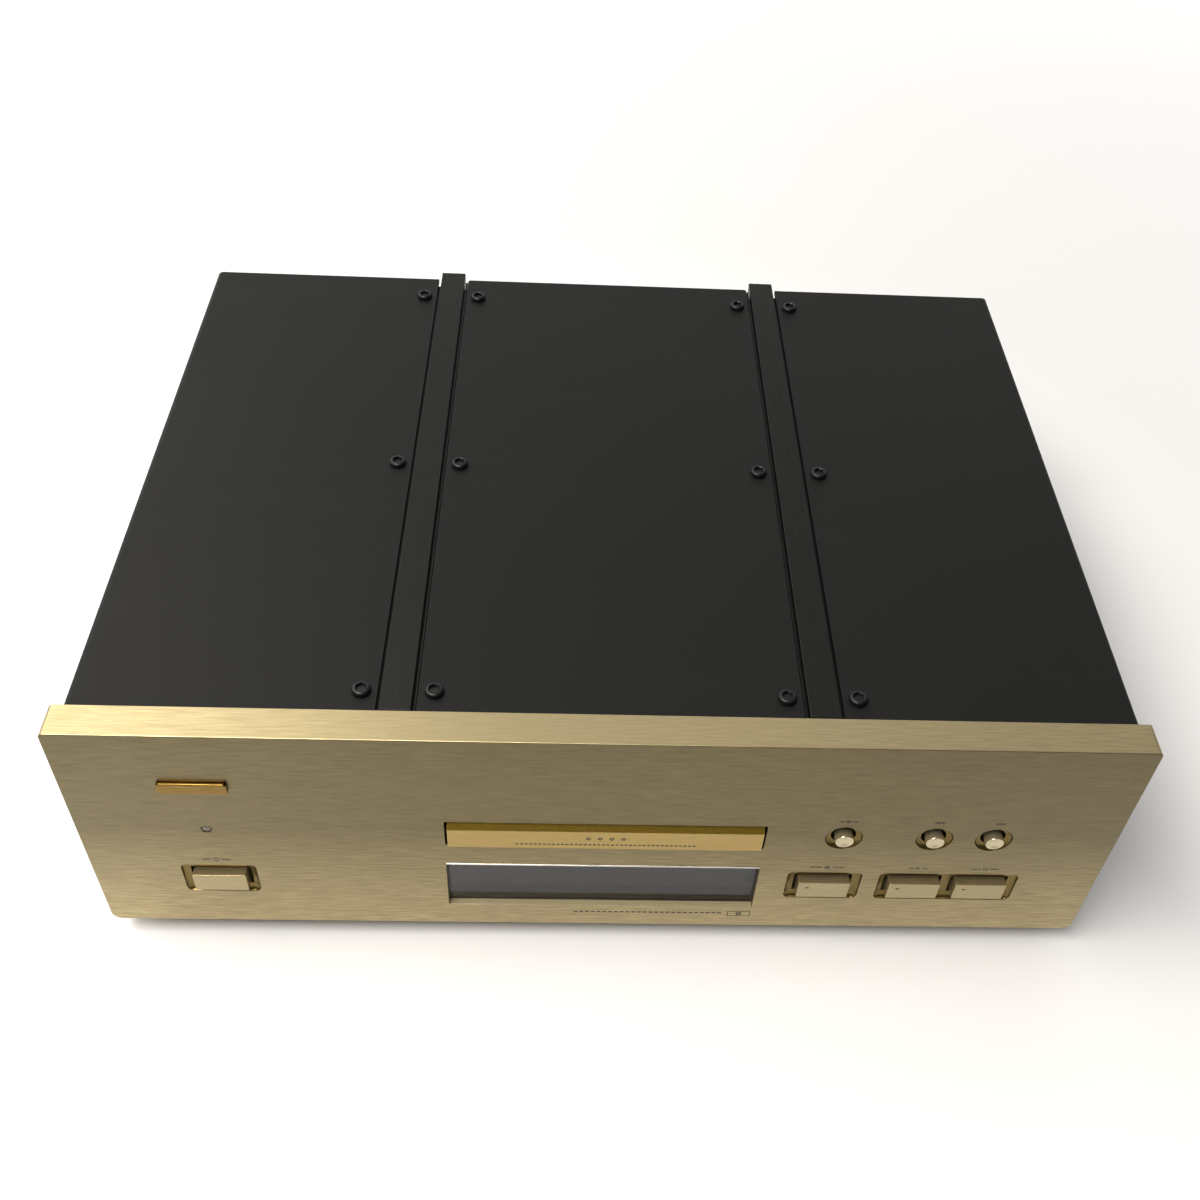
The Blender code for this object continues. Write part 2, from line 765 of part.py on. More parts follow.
def disc_tray():
    """Tray with the disc well, a slot that is open at the rear, and a rack underneath."""
    slot = TRAY_SLOT
    front, rear = TRAY_BACK
    edge = [(-TRAY_HALF, rear), (-TRAY_HALF, front), (TRAY_HALF, front), (TRAY_HALF, rear), (slot, rear)]
    edge += arc((0.0, SPINDLE_BACK), slot, 0, -180, 10)
    edge.append((-slot, rear))
    tray = extrude("disc_tray", [edge], *TRAY_UP, False)
    well = circle((0.0, SPINDLE_BACK), DISC_RADIUS + 0.0008, 40)
    cut(tray, extrude("disc_well", [well], WELL_FLOOR, TRAY_UP[1] + BITE, False))
    pitch_line = DRIVE_GEAR[0] + DRIVE_PITCH
    pitch = math.tau * DRIVE_PITCH / DRIVE_TEETH
    ends = (DRIVE_GEAR[1] - 0.005, rear - 0.002)
    teeth = rack_outline(pitch_line, DRIVE_GEAR[1], ends, pitch, 0.003)
    join(tray, extrude("tray_rack", [teeth], RACK_LOW, TRAY_UP[0] + BITE, False))
    return finish(tray, black_plastic())


def tray_lid():
    """Solid front of the tray, bevelled along its top by a block turned on its edge."""
    lid = block("tray_lid", (-LID_HALF, LID_HALF), (LID_FACE, TRAY_BACK[0] - GAP), LID_UP)
    slope = block("slope", grow((-LID_HALF, LID_HALF), BITE), (-0.006, 0.0), (0.0, 0.010))
    slope.data.transform(Matrix.Translation(-point(0.0, 0.0, 0.0)))
    slope.rotation_euler = (-math.radians(45), 0.0, 0.0)
    slope.location = point(0.0, LID_FACE, LID_UP[1] - LID_SLOPE)
    cut(lid, slope)
    return finish(lid, gold())


def mechanism_side(side, name):
    """Upright side plate with a rail that carries the tray's edge."""
    across = spread(side, SIDE_INNER, SIDE_OUTER)
    plate = block("mechanism_side_" + name, across, (0.026, 0.235), (FLOOR, BRIDGE_UP[0] - GAP))
    rail_across = spread(side, 0.0600, SIDE_INNER + BITE)
    rail = block("rail", rail_across, (0.028, 0.230), (0.0620, TRAY_UP[0] - GAP))
    join(plate, rail)
    return finish(plate, zinc())


def mechanism_deck():
    """Shelf between the side plates, with the drive gear's post and four legs."""
    half = SIDE_INNER - GAP
    deck = block("mechanism_deck", (-half, half), (0.0245, 0.235), DECK_UP)
    post_top = point(*DRIVE_GEAR, GEAR_UP[1] - 0.0017)
    join(deck, rod("gear_post", point(*DRIVE_GEAR, DECK_UP[1] - BITE), post_top, 0.0024))
    for across in (-0.062, 0.062):
        for back in (0.034, 0.225):
            seat = point(across, back, DECK_UP[0] + BITE)
            join(deck, rod("leg", point(across, back, FLOOR), seat, 0.004, 8))
    return finish(deck, zinc())


def clamp_bridge():
    """Bridge over the tray that holds the disc clamper."""
    across = (-SIDE_OUTER, SIDE_OUTER)
    bridge = block("clamp_bridge", across, around(SPINDLE_BACK, 0.024), BRIDGE_UP)
    low = point(0.0, SPINDLE_BACK, BRIDGE_UP[0] - BITE)
    high = point(0.0, SPINDLE_BACK, BRIDGE_UP[1] + BITE)
    cut(bridge, rod("clamper_hole", low, high, 0.0135, 24))
    return finish(bridge, zinc())


def disc_clamper():
    """Spool that hangs in the bridge and presses the disc on the turntable."""
    collar, neck, press = 0.0165, 0.0120, 0.0155
    top, low = 0.0905, 0.0792
    collar_low = BRIDGE_UP[1] + 0.0006
    press_high = BRIDGE_UP[0] - 0.0010
    profile = [
        (0.0, top), (collar, top), (collar, collar_low), (neck, collar_low),
        (neck, press_high), (press, press_high), (press, low), (0.0, low),
    ]
    clamper = turned("disc_clamper", point(0.0, SPINDLE_BACK, 0.0), profile)
    carry(pivot("clamper", point(0.0, SPINDLE_BACK, BRIDGE_UP[1])), clamper)
    return finish(clamper, black_plastic())


def loading_motor():
    """Small motor that stands on the deck."""
    up = (DECK_UP[1] + GAP, 0.0520)
    motor = rod("loading_motor", point(*MOTOR_PULLEY, up[0]), point(*MOTOR_PULLEY, up[1]), 0.0088, 20)
    ease(motor, 0.0006)
    low = point(*MOTOR_PULLEY, up[1] - 0.006)
    high = point(*MOTOR_PULLEY, up[1] + BITE)
    cut(motor, rod("shaft_bore", low, high, 0.0014, 10))
    return finish(motor, zinc())


def motor_pulley():
    """Pulley with the motor's shaft."""
    shaft, shaft_end = 0.0010, 0.0480
    profile = [
        (0.0, PULLEY_UP[1]), (SMALL_PULLEY, PULLEY_UP[1]), (SMALL_PULLEY, PULLEY_UP[0]),
        (shaft, PULLEY_UP[0]), (shaft, shaft_end), (0.0, shaft_end),
    ]
    pulley = turned("motor_pulley", point(*MOTOR_PULLEY, 0.0), profile, 16)
    carry(pivot("motor_pulley", point(*MOTOR_PULLEY, PULLEY_UP[0])), pulley)
    return finish(pulley, white_plastic())


def drive_gear():
    """Gear that moves the tray's rack, with its belt pulley below."""
    teeth = gear_outline(DRIVE_GEAR, DRIVE_PITCH, DRIVE_TEETH)
    gear = extrude("drive_gear", [teeth], *GEAR_UP, False)
    join(gear, extrude("pulley", [circle(DRIVE_GEAR, BIG_PULLEY)], *PULLEY_UP, False))
    hub = circle(DRIVE_GEAR, 0.006, 16)
    join(gear, extrude("hub", [hub], PULLEY_UP[1] - BITE, GEAR_UP[0] + BITE, False))
    low, high = point(*DRIVE_GEAR, PULLEY_UP[0] - BITE), point(*DRIVE_GEAR, GEAR_UP[1] + BITE)
    cut(gear, rod("bore", low, high, 0.0028))
    carry(pivot("drive_gear", point(*DRIVE_GEAR, PULLEY_UP[0])), gear)
    return finish(gear, white_plastic())


def loading_belt():
    """Round-the-pulleys drive belt."""
    loops = [belt_loop(GAP + BELT), belt_loop(GAP)]
    belt = extrude("loading_belt", loops, *BELT_UP, False)
    return finish(belt, rubber())


def belt_loop(offset):
    """Closed loop of two arcs and their tangents."""
    run = Vector(DRIVE_GEAR) - Vector(MOTOR_PULLEY)
    along = math.degrees(math.atan2(run.y, run.x))
    lean = math.degrees(math.acos((BIG_PULLEY - SMALL_PULLEY) / run.length))
    big = arc(DRIVE_GEAR, BIG_PULLEY + offset, along - (180 - lean), along + (180 - lean), 20)
    small = arc(MOTOR_PULLEY, SMALL_PULLEY + offset, along + (180 - lean), along + (180 + lean), 8)
    return big + small


# ---------------------------------------------------------------- traverse


def traverse_base():
    """Plate that carries the spindle, the rods and the sled drive, with two lifting pins."""
    base = block("traverse_base", (-0.052, 0.036), (0.050, 0.163), TRAVERSE_UP)
    block_long = 0.004
    block_up = (TRAVERSE_UP[1] - BITE, ROD_UP - ROD_RADIUS - GAP)
    for across in (-ROD_ACROSS, ROD_ACROSS):
        for back in (ROD_BACK[0], ROD_BACK[1] - block_long):
            join(base, block("rod_block", around(across, 0.0035), (back, back + block_long), block_up))
    for across in PIN_ACROSS:
        start, end = point(across, 0.0435, PIN_UP), point(across, 0.0510, PIN_UP)
        join(base, rod("pin", start, end, PIN_RADIUS, 12))
    low, high = point(*SLED_GEAR, TRAVERSE_UP[0] - BITE), point(*SLED_GEAR, TRAVERSE_UP[1] + BITE)
    cut(base, rod("shaft_hole", low, high, 0.0020, 12))
    return finish(base, zinc())


def guide_rod(side, name, traverse):
    start, end = [point(side * ROD_ACROSS, back, ROD_UP) for back in ROD_BACK]
    guide = rod("guide_rod_" + name, start, end, ROD_RADIUS, 12)
    carry(traverse, guide)
    return finish(guide, zinc())


def spindle_motor():
    centre = (0.0, SPINDLE_BACK)
    motor = rod("spindle_motor", point(*centre, TRAVERSE_UP[1] + GAP), point(*centre, 0.0580), 0.0130, 24)
    ease(motor, 0.0008)
    cut(motor, rod("shaft_bore", point(*centre, 0.050), point(*centre, 0.060), 0.0019, 12))
    return finish(motor, zinc())


def turntable(traverse):
    """Disc seat with its centring cone and shaft."""
    seat, rim = 0.0690, 0.0145
    cone_top, cone_low = 0.0045, 0.0074
    shaft, shaft_end = 0.0015, 0.0520
    profile = [
        (0.0, seat + 0.0018), (cone_top, seat + 0.0018), (cone_low, seat), (rim, seat),
        (rim, seat - 0.0025), (0.0060, seat - 0.0040), (shaft, seat - 0.0070),
        (shaft, shaft_end), (0.0, shaft_end),
    ]
    table = turned("turntable", point(0.0, SPINDLE_BACK, 0.0), profile)
    carry(pivot("turntable", point(0.0, SPINDLE_BACK, seat), traverse), table)
    return finish(table, black_plastic())


def optical_pickup(sled):
    """Pickup sled on the rods, with its lens tower and the rack that drives it."""
    back = around(PICKUP_BACK, 0.011)
    body = block("optical_pickup", (-0.0305, 0.0305), back, (0.0435, 0.0545))
    ease(body, 0.0008)
    tower_low, tower_high = point(0.0, PICKUP_BACK, 0.053), point(0.0, PICKUP_BACK, 0.0660)
    join(body, rod("lens_tower", tower_low, tower_high, 0.0055, 16))
    pitch_line = SLED_GEAR[0] + SLED_PITCH
    pitch = math.tau * SLED_PITCH / SLED_TEETH
    ends = (SLED_GEAR[1] - 0.0395, SLED_GEAR[1] + 0.0035)
    teeth = rack_outline(pitch_line, SLED_GEAR[1], ends, pitch, 0.0018)
    rack = extrude("sled_rack", [teeth], 0.0445, 0.0475, False)
    bridge_across = (pitch_line + 0.0015, -0.0290)
    join(body, rack, block("rack_arm", bridge_across, grow(back, -0.002), (0.0440, 0.0480)))
    for across in (-ROD_ACROSS, ROD_ACROSS):
        start, end = [point(across, spot, ROD_UP) for spot in grow(back, BITE)]
        cut(body, rod("rod_bore", start, end, ROD_RADIUS + GAP, 12))
    notch_low, notch_high = point(0.0, SPINDLE_BACK, 0.040), point(0.0, SPINDLE_BACK, 0.060)
    cut(body, rod("motor_notch", notch_low, notch_high, 0.0145, 24))
    carry(sled, body)
    return finish(body, black_plastic())


def sled_motor():
    """Flat motor under the traverse plate."""
    top = TRAVERSE_UP[0] - GAP
    motor = rod("sled_motor", point(*SLED_GEAR, top - 0.0085), point(*SLED_GEAR, top), 0.0085, 20)
    low, high = point(*SLED_GEAR, top - 0.004), point(*SLED_GEAR, top + BITE)
    cut(motor, rod("shaft_bore", low, high, 0.0014, 10))
    return finish(motor, zinc())


def sled_gear(traverse):
    """Pinion on the sled motor's shaft."""
    teeth = gear_outline(SLED_GEAR, SLED_PITCH, SLED_TEETH)
    gear = extrude("sled_gear", [teeth], 0.0442, 0.0478, False)
    join(gear, rod("shaft", point(*SLED_GEAR, 0.0355), point(*SLED_GEAR, 0.0460), 0.0010, 10))
    carry(pivot("sled_gear", point(*SLED_GEAR, 0.0442), traverse), gear)
    return finish(gear, white_plastic())


def cam_slider():
    """Sliding plate whose slanted slots lift the traverse's pins."""
    left, right = -0.052, 0.030
    low, high = DECK_UP[1] + GAP, 0.0530
    edge = [(left, low), (right, low), (right, high), (left, high)]
    slots = []
    for across in PIN_ACROSS:
        start, end = (across, PIN_UP), (across - CAM_TRAVEL, PIN_UP + LIFT)
        slots.append(capsule(start, end, PIN_RADIUS + 0.0005))
    slider = extrude("cam_slider", [edge, *slots], 0.0450, 0.0475, True)
    carry(pivot("cam_slider", point(0.0, 0.0450, PIN_UP)), slider)
    return finish(slider, white_plastic())


def mechanism():
    for side, name in ((-1, "left"), (1, "right")):
        mechanism_side(side, name)
    mechanism_deck()
    clamp_bridge()
    disc_clamper()
    loading_motor()
    motor_pulley()
    loading_belt()
    drive_gear()
    tray = pivot("tray", point(0.0, 0.0, TRAY_UP[0]))
    carry(tray, disc_tray(), tray_lid())
    traverse = pivot("traverse", point(0.0, SPINDLE_BACK, TRAVERSE_UP[0]))
    carry(traverse, traverse_base(), spindle_motor(), sled_motor())
    for side, name in ((-1, "left"), (1, "right")):
        guide_rod(side, name, traverse)
    turntable(traverse)
    sled_gear(traverse)
    optical_pickup(pivot("sled", point(0.0, PICKUP_BACK, ROD_UP), traverse))
    cam_slider()


case()
for key_name, key_across in KEYS.items():
    key(key_name, key_across)
for knob_name, knob_across in KNOBS.items():
    knob(knob_name, knob_across)
front_circuit_board()
display_module()
power_transformer()
boards()
for jack_name, jack_across in JACKS.items():
    output_jack(jack_name, jack_across)
mains_inlet()
mechanism()
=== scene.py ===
"""Looks of a full-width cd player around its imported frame.

Places are given as across, back and up: across from the middle, back from the front
panel's face, and up from the front panel's lower edge, in metres.
"""
import json
import math

import bmesh
import bpy
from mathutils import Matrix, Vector


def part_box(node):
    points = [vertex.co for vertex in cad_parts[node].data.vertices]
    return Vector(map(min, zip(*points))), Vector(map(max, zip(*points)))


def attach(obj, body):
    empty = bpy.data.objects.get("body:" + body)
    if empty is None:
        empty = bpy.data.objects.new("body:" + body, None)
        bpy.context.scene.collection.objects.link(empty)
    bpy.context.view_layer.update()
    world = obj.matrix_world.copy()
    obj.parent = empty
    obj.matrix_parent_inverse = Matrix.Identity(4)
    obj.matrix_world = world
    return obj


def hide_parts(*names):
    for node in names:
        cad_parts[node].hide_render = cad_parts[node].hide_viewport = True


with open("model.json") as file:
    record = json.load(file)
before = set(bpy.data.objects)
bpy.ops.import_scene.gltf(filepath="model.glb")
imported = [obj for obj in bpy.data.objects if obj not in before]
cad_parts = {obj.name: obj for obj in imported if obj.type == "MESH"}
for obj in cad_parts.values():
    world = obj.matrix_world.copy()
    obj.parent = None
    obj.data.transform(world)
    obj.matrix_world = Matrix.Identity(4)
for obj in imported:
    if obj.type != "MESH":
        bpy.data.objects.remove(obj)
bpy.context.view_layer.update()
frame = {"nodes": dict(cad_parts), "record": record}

PANEL_LOW, PANEL_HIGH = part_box("front_panel")
FRONT = PANEL_LOW[1]
BASE = PANEL_LOW[2]
PANEL_HALF = PANEL_HIGH[0]
PANEL_DEPTH = PANEL_HIGH[1] - FRONT
PANEL_HEIGHT = PANEL_HIGH[2] - BASE
CASE = "case"
BODIES = {node: body for body, nodes in frame["record"]["behaviour"]["bodies"].items() for node in nodes}

ACROSS, BACK, UP = 0, 1, 2
SHARP = 0.00002          # least radius of a corner
WELD = 0.000002          # between points that are the same corner
OVERSHOOT = 0.001        # how far a cutter stands out of what it cuts

# Front panel
PANEL_TOP_CORNER = 0.0022
PANEL_LOW_CORNER = 0.0045
PANEL_EDGE = 0.00035
THROUGH = PANEL_DEPTH + OVERSHOOT
LIP = 0.00025            # rounding of an opening's mouth
OPENING_CORNER = 0.0006
SLOT = ((-0.0687, 0.0687), (0.0643, 0.0812))
WINDOW = ((-0.0691, 0.0691), (0.0158, 0.0498))
WINDOW_LEDGE = 0.003     # from the panel's face to the rebate that holds the pane

# Rectangular keys, each in a dished pocket, two of them in the wide one
POCKETS = {
    "power": (-0.1843, -0.1520),
    "open_close": (0.0823, 0.1158),
    "transport": (0.1237, 0.1866),
}
POCKET_UP = (0.0250, 0.0459)
POCKET_DEPTH = 0.0020
POCKET_BAND = 0.0036     # width of the cove round a pocket's floor
POCKET_CORNER = 0.0027
KEYS = {"power": -0.1680, "open_close": 0.0989, "play": 0.1398, "pause": 0.1700}
KEY_UP = 0.0353
KEY_HOLE = (0.0262, 0.0130)
KEY_FLANGE = 0.0022      # how far a key's flange stands out round its cap

# Round knobs, each in a round dish as deep as the pockets
KNOBS = {"stop": 0.1026, "previous": 0.1421, "next": 0.1682}
KNOB_UP = 0.0734
KNOB_RADIUS = 0.0041
KNOB_HOLE = 0.0055
KNOB_FLANGE = 0.0068
KNOB_STEM = 0.0025
DISH_RADIUS = 0.0081
FLANGE_BACK = (PANEL_DEPTH + 0.0005, PANEL_DEPTH + 0.0020)   # of keys and knobs

# Small details on the panel
LAMP = (-0.1684, 0.0736)
LAMP_RADIUS = 0.0021
LAMP_LENGTH = 0.006
BADGE = ((-0.1832, -0.1548), (0.1006, 0.1074))
BADGE_RISE = 0.0016
PRINT_GAP = 0.00002      # of ink from the surface it is on
PRINT_THICKNESS = 0.00003
PRINT_RISE = PRINT_GAP + PRINT_THICKNESS


# ---------------------------------------------------------------- shapes


def place(across, back, up):
    """World place of a point given across, back and up."""
    return Vector((across, FRONT + back, BASE + up))


def local(corner):
    """A world corner as across, back and up."""
    return (corner[0], corner[1] - FRONT, corner[2] - BASE)


def span(node):
    """A frame node's box as (low, high) across, back and up."""
    low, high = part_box(node)
    return list(zip(local(low), local(high)))


def grow(pair, by):
    return (pair[0] - by, pair[1] + by)


def arc(middle, radius, start, end, steps):
    """Points along an arc, angles in degrees."""
    turn = [math.radians(start + (end - start) * i / steps) for i in range(steps + 1)]
    return [(middle[0] + radius * math.cos(a), middle[1] + radius * math.sin(a)) for a in turn]


def circle(middle, radius, steps=48):
    return arc(middle, radius, 0, 360, steps)[:-1]


def rounded(across, up, radius, steps=6, top_radius=None):
    """Outline of a rectangle with round corners."""
    top = radius if top_radius is None else top_radius
    corners = [
        ((across[1] - top, up[1] - top), top),
        ((across[0] + top, up[1] - top), top),
        ((across[0] + radius, up[0] + radius), radius),
        ((across[1] - radius, up[0] + radius), radius),
    ]
    outline = []
    for turn, (middle, bend) in enumerate(corners):
        outline += arc(middle, bend, 90 * turn, 90 * turn + 90, steps)
    return outline


def rectangle(across, up):
    return [(across[0], up[0]), (across[1], up[0]), (across[1], up[1]), (across[0], up[1])]


def solid(name, bm):
    """An object from a finished bmesh, with its faces turned out."""
    bmesh.ops.recalc_face_normals(bm, faces=bm.faces)
    mesh = bpy.data.meshes.new(name)
    bm.to_mesh(mesh)
    bm.free()
    obj = bpy.data.objects.new(name, mesh)
    bpy.context.scene.collection.objects.link(obj)
    return obj


def loft(name, sections, axis=BACK):
    """Closed solid through (outline, position) sections of equal length along an axis."""
    bm = bmesh.new()
    rings = []
    for outline, position in sections:
        ring = []
        for first, second in outline:
            spot = [first, second]
            spot.insert(axis, position)
            ring.append(bm.verts.new(place(*spot)))
        rings.append(ring)
    for near, far in zip(rings, rings[1:]):
        for i in range(len(near)):
            j = (i + 1) % len(near)
            bm.faces.new((near[i], near[j], far[j], far[i]))
    bm.faces.new(rings[0])
    bm.faces.new(rings[-1])
    return solid(name, bm)


def edge_round(radius, steps=3):
    """(inset, depth) along a rounded edge, from the face to the side."""
    turn = [math.pi / 2 * i / steps for i in range(steps + 1)]
    return [(radius * (1 - math.sin(a)), radius * (1 - math.cos(a))) for a in turn]


def slab(name, spans, corner, edge, axis=BACK, steps=3, top_corner=None):
    """Box with round corners seen along the axis and rounded edges at both ends."""
    ends = spans[axis]
    first, second = [s for i, s in enumerate(spans) if i != axis]
    near = [(i, ends[0] + d) for i, d in edge_round(edge, steps)]
    far = [(i, ends[1] - d) for i, d in reversed(edge_round(edge, steps))]
    sections = []
    for inset, position in near + far:
        low_bend = max(corner - inset, SHARP)
        top_bend = max((top_corner or corner) - inset, SHARP)
        outline = rounded(grow(first, -inset), grow(second, -inset), low_bend, 6, top_bend)
        sections.append((outline, position))
    return loft(name, sections, axis)


def turned(name, centre, profile, facing_front=False, steps=48):
    """A turned piece: (radius, height) points from the top's middle down the outside."""
    bm = bmesh.new()
    verts = [bm.verts.new((radius, 0.0, height)) for radius, height in profile]
    for upper, lower in zip(verts, verts[1:]):
        bm.edges.new((upper, lower))
    mesh = bpy.data.meshes.new(name)
    bm.to_mesh(mesh)
    bm.free()
    obj = bpy.data.objects.new(name, mesh)
    bpy.context.scene.collection.objects.link(obj)
    obj.location = centre
    if facing_front:
        obj.rotation_euler = (math.pi / 2, 0.0, 0.0)
    screw = obj.modifiers.new("turn", "SCREW")
    screw.steps = steps
    screw.render_steps = steps
    screw.use_merge_vertices = True
    screw.merge_threshold = 0.000005
    return obj


def extruded(name, outlines, low, high, axis=BACK, edge=0.0):
    """Flat outlines (holes wound the other way) given thickness along an axis."""
    curve = bpy.data.curves.new(name, "CURVE")
    curve.dimensions = "2D"
    curve.fill_mode = "BOTH"
    curve.extrude = (high - low) / 2 - edge
    curve.bevel_depth = edge
    curve.bevel_resolution = 2
    curve.offset = -edge
    for outline in outlines:
        spline = curve.splines.new("POLY")
        spline.points.add(len(outline) - 1)
        for spot, (x, y) in zip(spline.points, outline):
            spot.co = (x, y, 0.0, 1.0)
        spline.use_cyclic_u = True
    flat = bpy.data.objects.new(name + "_outline", curve)
    bpy.context.scene.collection.objects.link(flat)
    middle = (low + high) / 2
    turn = {BACK: (math.pi / 2, 0, 0), UP: (0, 0, 0), ACROSS: (math.pi / 2, 0, math.pi / 2)}
    spot = {BACK: (0, middle, 0), UP: (0, 0, middle), ACROSS: (middle, 0, 0)}
    flat.rotation_euler = turn[axis]
    flat.location = place(*spot[axis])
    bpy.context.view_layer.update()
    seen = flat.evaluated_get(bpy.context.evaluated_depsgraph_get())
    bm = bmesh.new()
    bm.from_mesh(bpy.data.meshes.new_from_object(seen))
    bm.transform(flat.matrix_world)
    bmesh.ops.remove_doubles(bm, verts=bm.verts, dist=WELD)
    bpy.data.objects.remove(flat)
    return solid(name, bm)


def join(name, objects):
    """One mesh from several separate shells."""
    bm = bmesh.new()
    for obj in objects:
        part = obj.data.copy()
        part.transform(obj.matrix_world)
        bm.from_mesh(part)
        bpy.data.meshes.remove(part)
        bpy.data.objects.remove(obj)
    return solid(name, bm)


def boolean(target, tools, operation):
    """Cut with or join to other solids, which are then removed."""
    for tool in tools:
        step = target.modifiers.new(operation, "BOOLEAN")
        step.operation = operation
        step.solver = "EXACT"
        step.object = tool
    bake(target)
    for tool in tools:
        bpy.data.objects.remove(tool)
    return target


def cut(target, *tools):
    return boolean(target, tools, "DIFFERENCE")


def unite(target, *tools):
    return boolean(target, tools, "UNION")


def bake(obj):
    """Apply what the modifiers make."""
    bpy.context.view_layer.update()
    seen = obj.evaluated_get(bpy.context.evaluated_depsgraph_get())
    mesh = bpy.data.meshes.new_from_object(seen)
    obj.modifiers.clear()
    obj.data = mesh
    return obj


def shade(obj, angle=35):
    """Smooth shading that keeps flat faces flat and real edges sharp."""
    if obj.modifiers:
        bake(obj)
    obj.data.shade_smooth()
    obj.data.set_sharp_from_angle(angle=math.radians(angle))
    weighted = obj.modifiers.new("weighted_normals", "WEIGHTED_NORMAL")
    weighted.keep_sharp = True
    weighted.weight = 100
    return obj


def piece(obj, surface, body=CASE, replaces=()):
    """Finish a piece: material, body, and the frame nodes that it stands for."""
    obj.data.materials.clear()
    obj.data.materials.append(surface)
    shade(obj)
    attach(obj, body)
    if replaces:
        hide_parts(*replaces)
    return obj


# ---------------------------------------------------------------- materials


class Nodes:
    """A material's node tree with a Principled shader."""

    def __init__(self, name, colour, roughness, metallic=0.0, **sockets):
        self.material = bpy.data.materials.new(name)
        self.material.use_nodes = True
        self.tree = self.material.node_tree
        self.shader = self.tree.nodes["Principled BSDF"]
        self.shader.inputs["Base Color"].default_value = (*colour, 1.0)
        self.shader.inputs["Roughness"].default_value = roughness
        self.shader.inputs["Metallic"].default_value = metallic
        for socket, value in sockets.items():
            self.shader.inputs[socket.replace("_", " ")].default_value = value
        self.coords = self.tree.nodes.new("ShaderNodeTexCoord").outputs["Object"]

    def link(self, output, target):
        self.tree.links.new(output, target)

    def noise(self, scale, detail=3.0, roughness=0.5, distortion=0.0, turn=0.0):
        """Noise over object space, with a scale for each axis per metre."""
        mapping = self.tree.nodes.new("ShaderNodeMapping")
        mapping.inputs["Scale"].default_value = scale
        mapping.inputs["Rotation"].default_value = (0.0, 0.0, turn)
        self.link(self.coords, mapping.inputs["Vector"])
        made = self.tree.nodes.new("ShaderNodeTexNoise")
        made.inputs["Scale"].default_value = 1.0
        made.inputs["Detail"].default_value = detail
        made.inputs["Roughness"].default_value = roughness
        made.inputs["Distortion"].default_value = distortion
        self.link(mapping.outputs["Vector"], made.inputs["Vector"])
        return made.outputs["Fac"]

    def ramp(self, factor, low, high, start=0.3, end=0.7):
        """Colour or value between two ends over part of a factor's range."""
        made = self.tree.nodes.new("ShaderNodeMapRange")
        made.inputs["From Min"].default_value = start
        made.inputs["From Max"].default_value = end
        made.inputs["To Min"].default_value = low
        made.inputs["To Max"].default_value = high
        self.link(factor, made.inputs["Value"])
        return made.outputs["Result"]

    def times(self, first, second):
        made = self.tree.nodes.new("ShaderNodeMath")
        made.operation = "MULTIPLY"
        self.link(first, made.inputs[0])
        self.link(second, made.inputs[1])
        return made.outputs["Value"]

    def blend(self, factor, first, second):
        """Mix by a factor of two colours, each given as an output or as numbers."""
        made = self.tree.nodes.new("ShaderNodeMix")
        made.data_type = "RGBA"
        for socket, value in ((6, first), (7, second)):
            if isinstance(value, tuple):
                made.inputs[socket].default_value = (*value, 1.0)
            else:
                self.link(value, made.inputs[socket])
        self.link(factor, made.inputs["Factor"])
        return made.outputs[2]

    def colour(self, output):
        self.link(output, self.shader.inputs["Base Color"])

    def roughness(self, output):
        self.link(output, self.shader.inputs["Roughness"])

    def bump(self, height, strength, distance):
        made = self.tree.nodes.new("ShaderNodeBump")
        made.inputs["Strength"].default_value = strength
        made.inputs["Distance"].default_value = distance
        self.link(height, made.inputs["Height"])
        self.link(made.outputs["Normal"], self.shader.inputs["Normal"])


GRAIN_LONG = 90.0        # grain streaks per metre along the brushing
GRAIN_FINE = 2600.0      # and across it
STREAK_FINE = 1500.0     # wider streaks across it
PAINTED_SHADE_SPAN = (BASE, BASE + PANEL_HEIGHT * 0.55)   # where painted shade darkens the panel's front with height, in place of the floor's reflection low down


def brushed(
    name, dark, light, roughness, axis=ACROSS, strength=0.25, grain=0.5, painted_height_shade=None, metallic=1.0
):
    """Brushed metal: fine streaks along one axis, a slow drift in tone, and where asked painted shade
    that darkens it with height.
    """
    made = Nodes(name, light, roughness, metallic)
    scale = [GRAIN_FINE] * 3
    scale[axis] = GRAIN_LONG
    broad = [STREAK_FINE] * 3
    broad[axis] = GRAIN_LONG
    fine = made.noise(scale, 2.0, 0.6)
    streaks = made.noise(broad, 1.0, 0.4)
    drift = made.noise((7.0, 7.0, 7.0), 2.0)
    narrow = made.ramp(fine, 1 - grain, 1.0, 0.34, 0.66)
    wide = made.ramp(streaks, 1 - grain / 4, 1.0)
    tone_with_painted_shade = made.times(made.times(narrow, wide), made.ramp(drift, 0.90, 1.0))
    # painted shade: darker with height, standing in for the bright floor that the lower front reflects
    if painted_height_shade:
        split = made.tree.nodes.new("ShaderNodeSeparateXYZ")
        made.link(made.coords, split.inputs["Vector"])
        tone_with_painted_shade = made.times(tone_with_painted_shade, made.ramp(split.outputs["Z"], 1.0, painted_height_shade, *PAINTED_SHADE_SPAN))
    made.colour(made.blend(tone_with_painted_shade, dark, light))
    made.roughness(made.ramp(fine, roughness + 0.08, roughness - 0.05))
    made.bump(fine, strength, 0.00004)
    return made.material


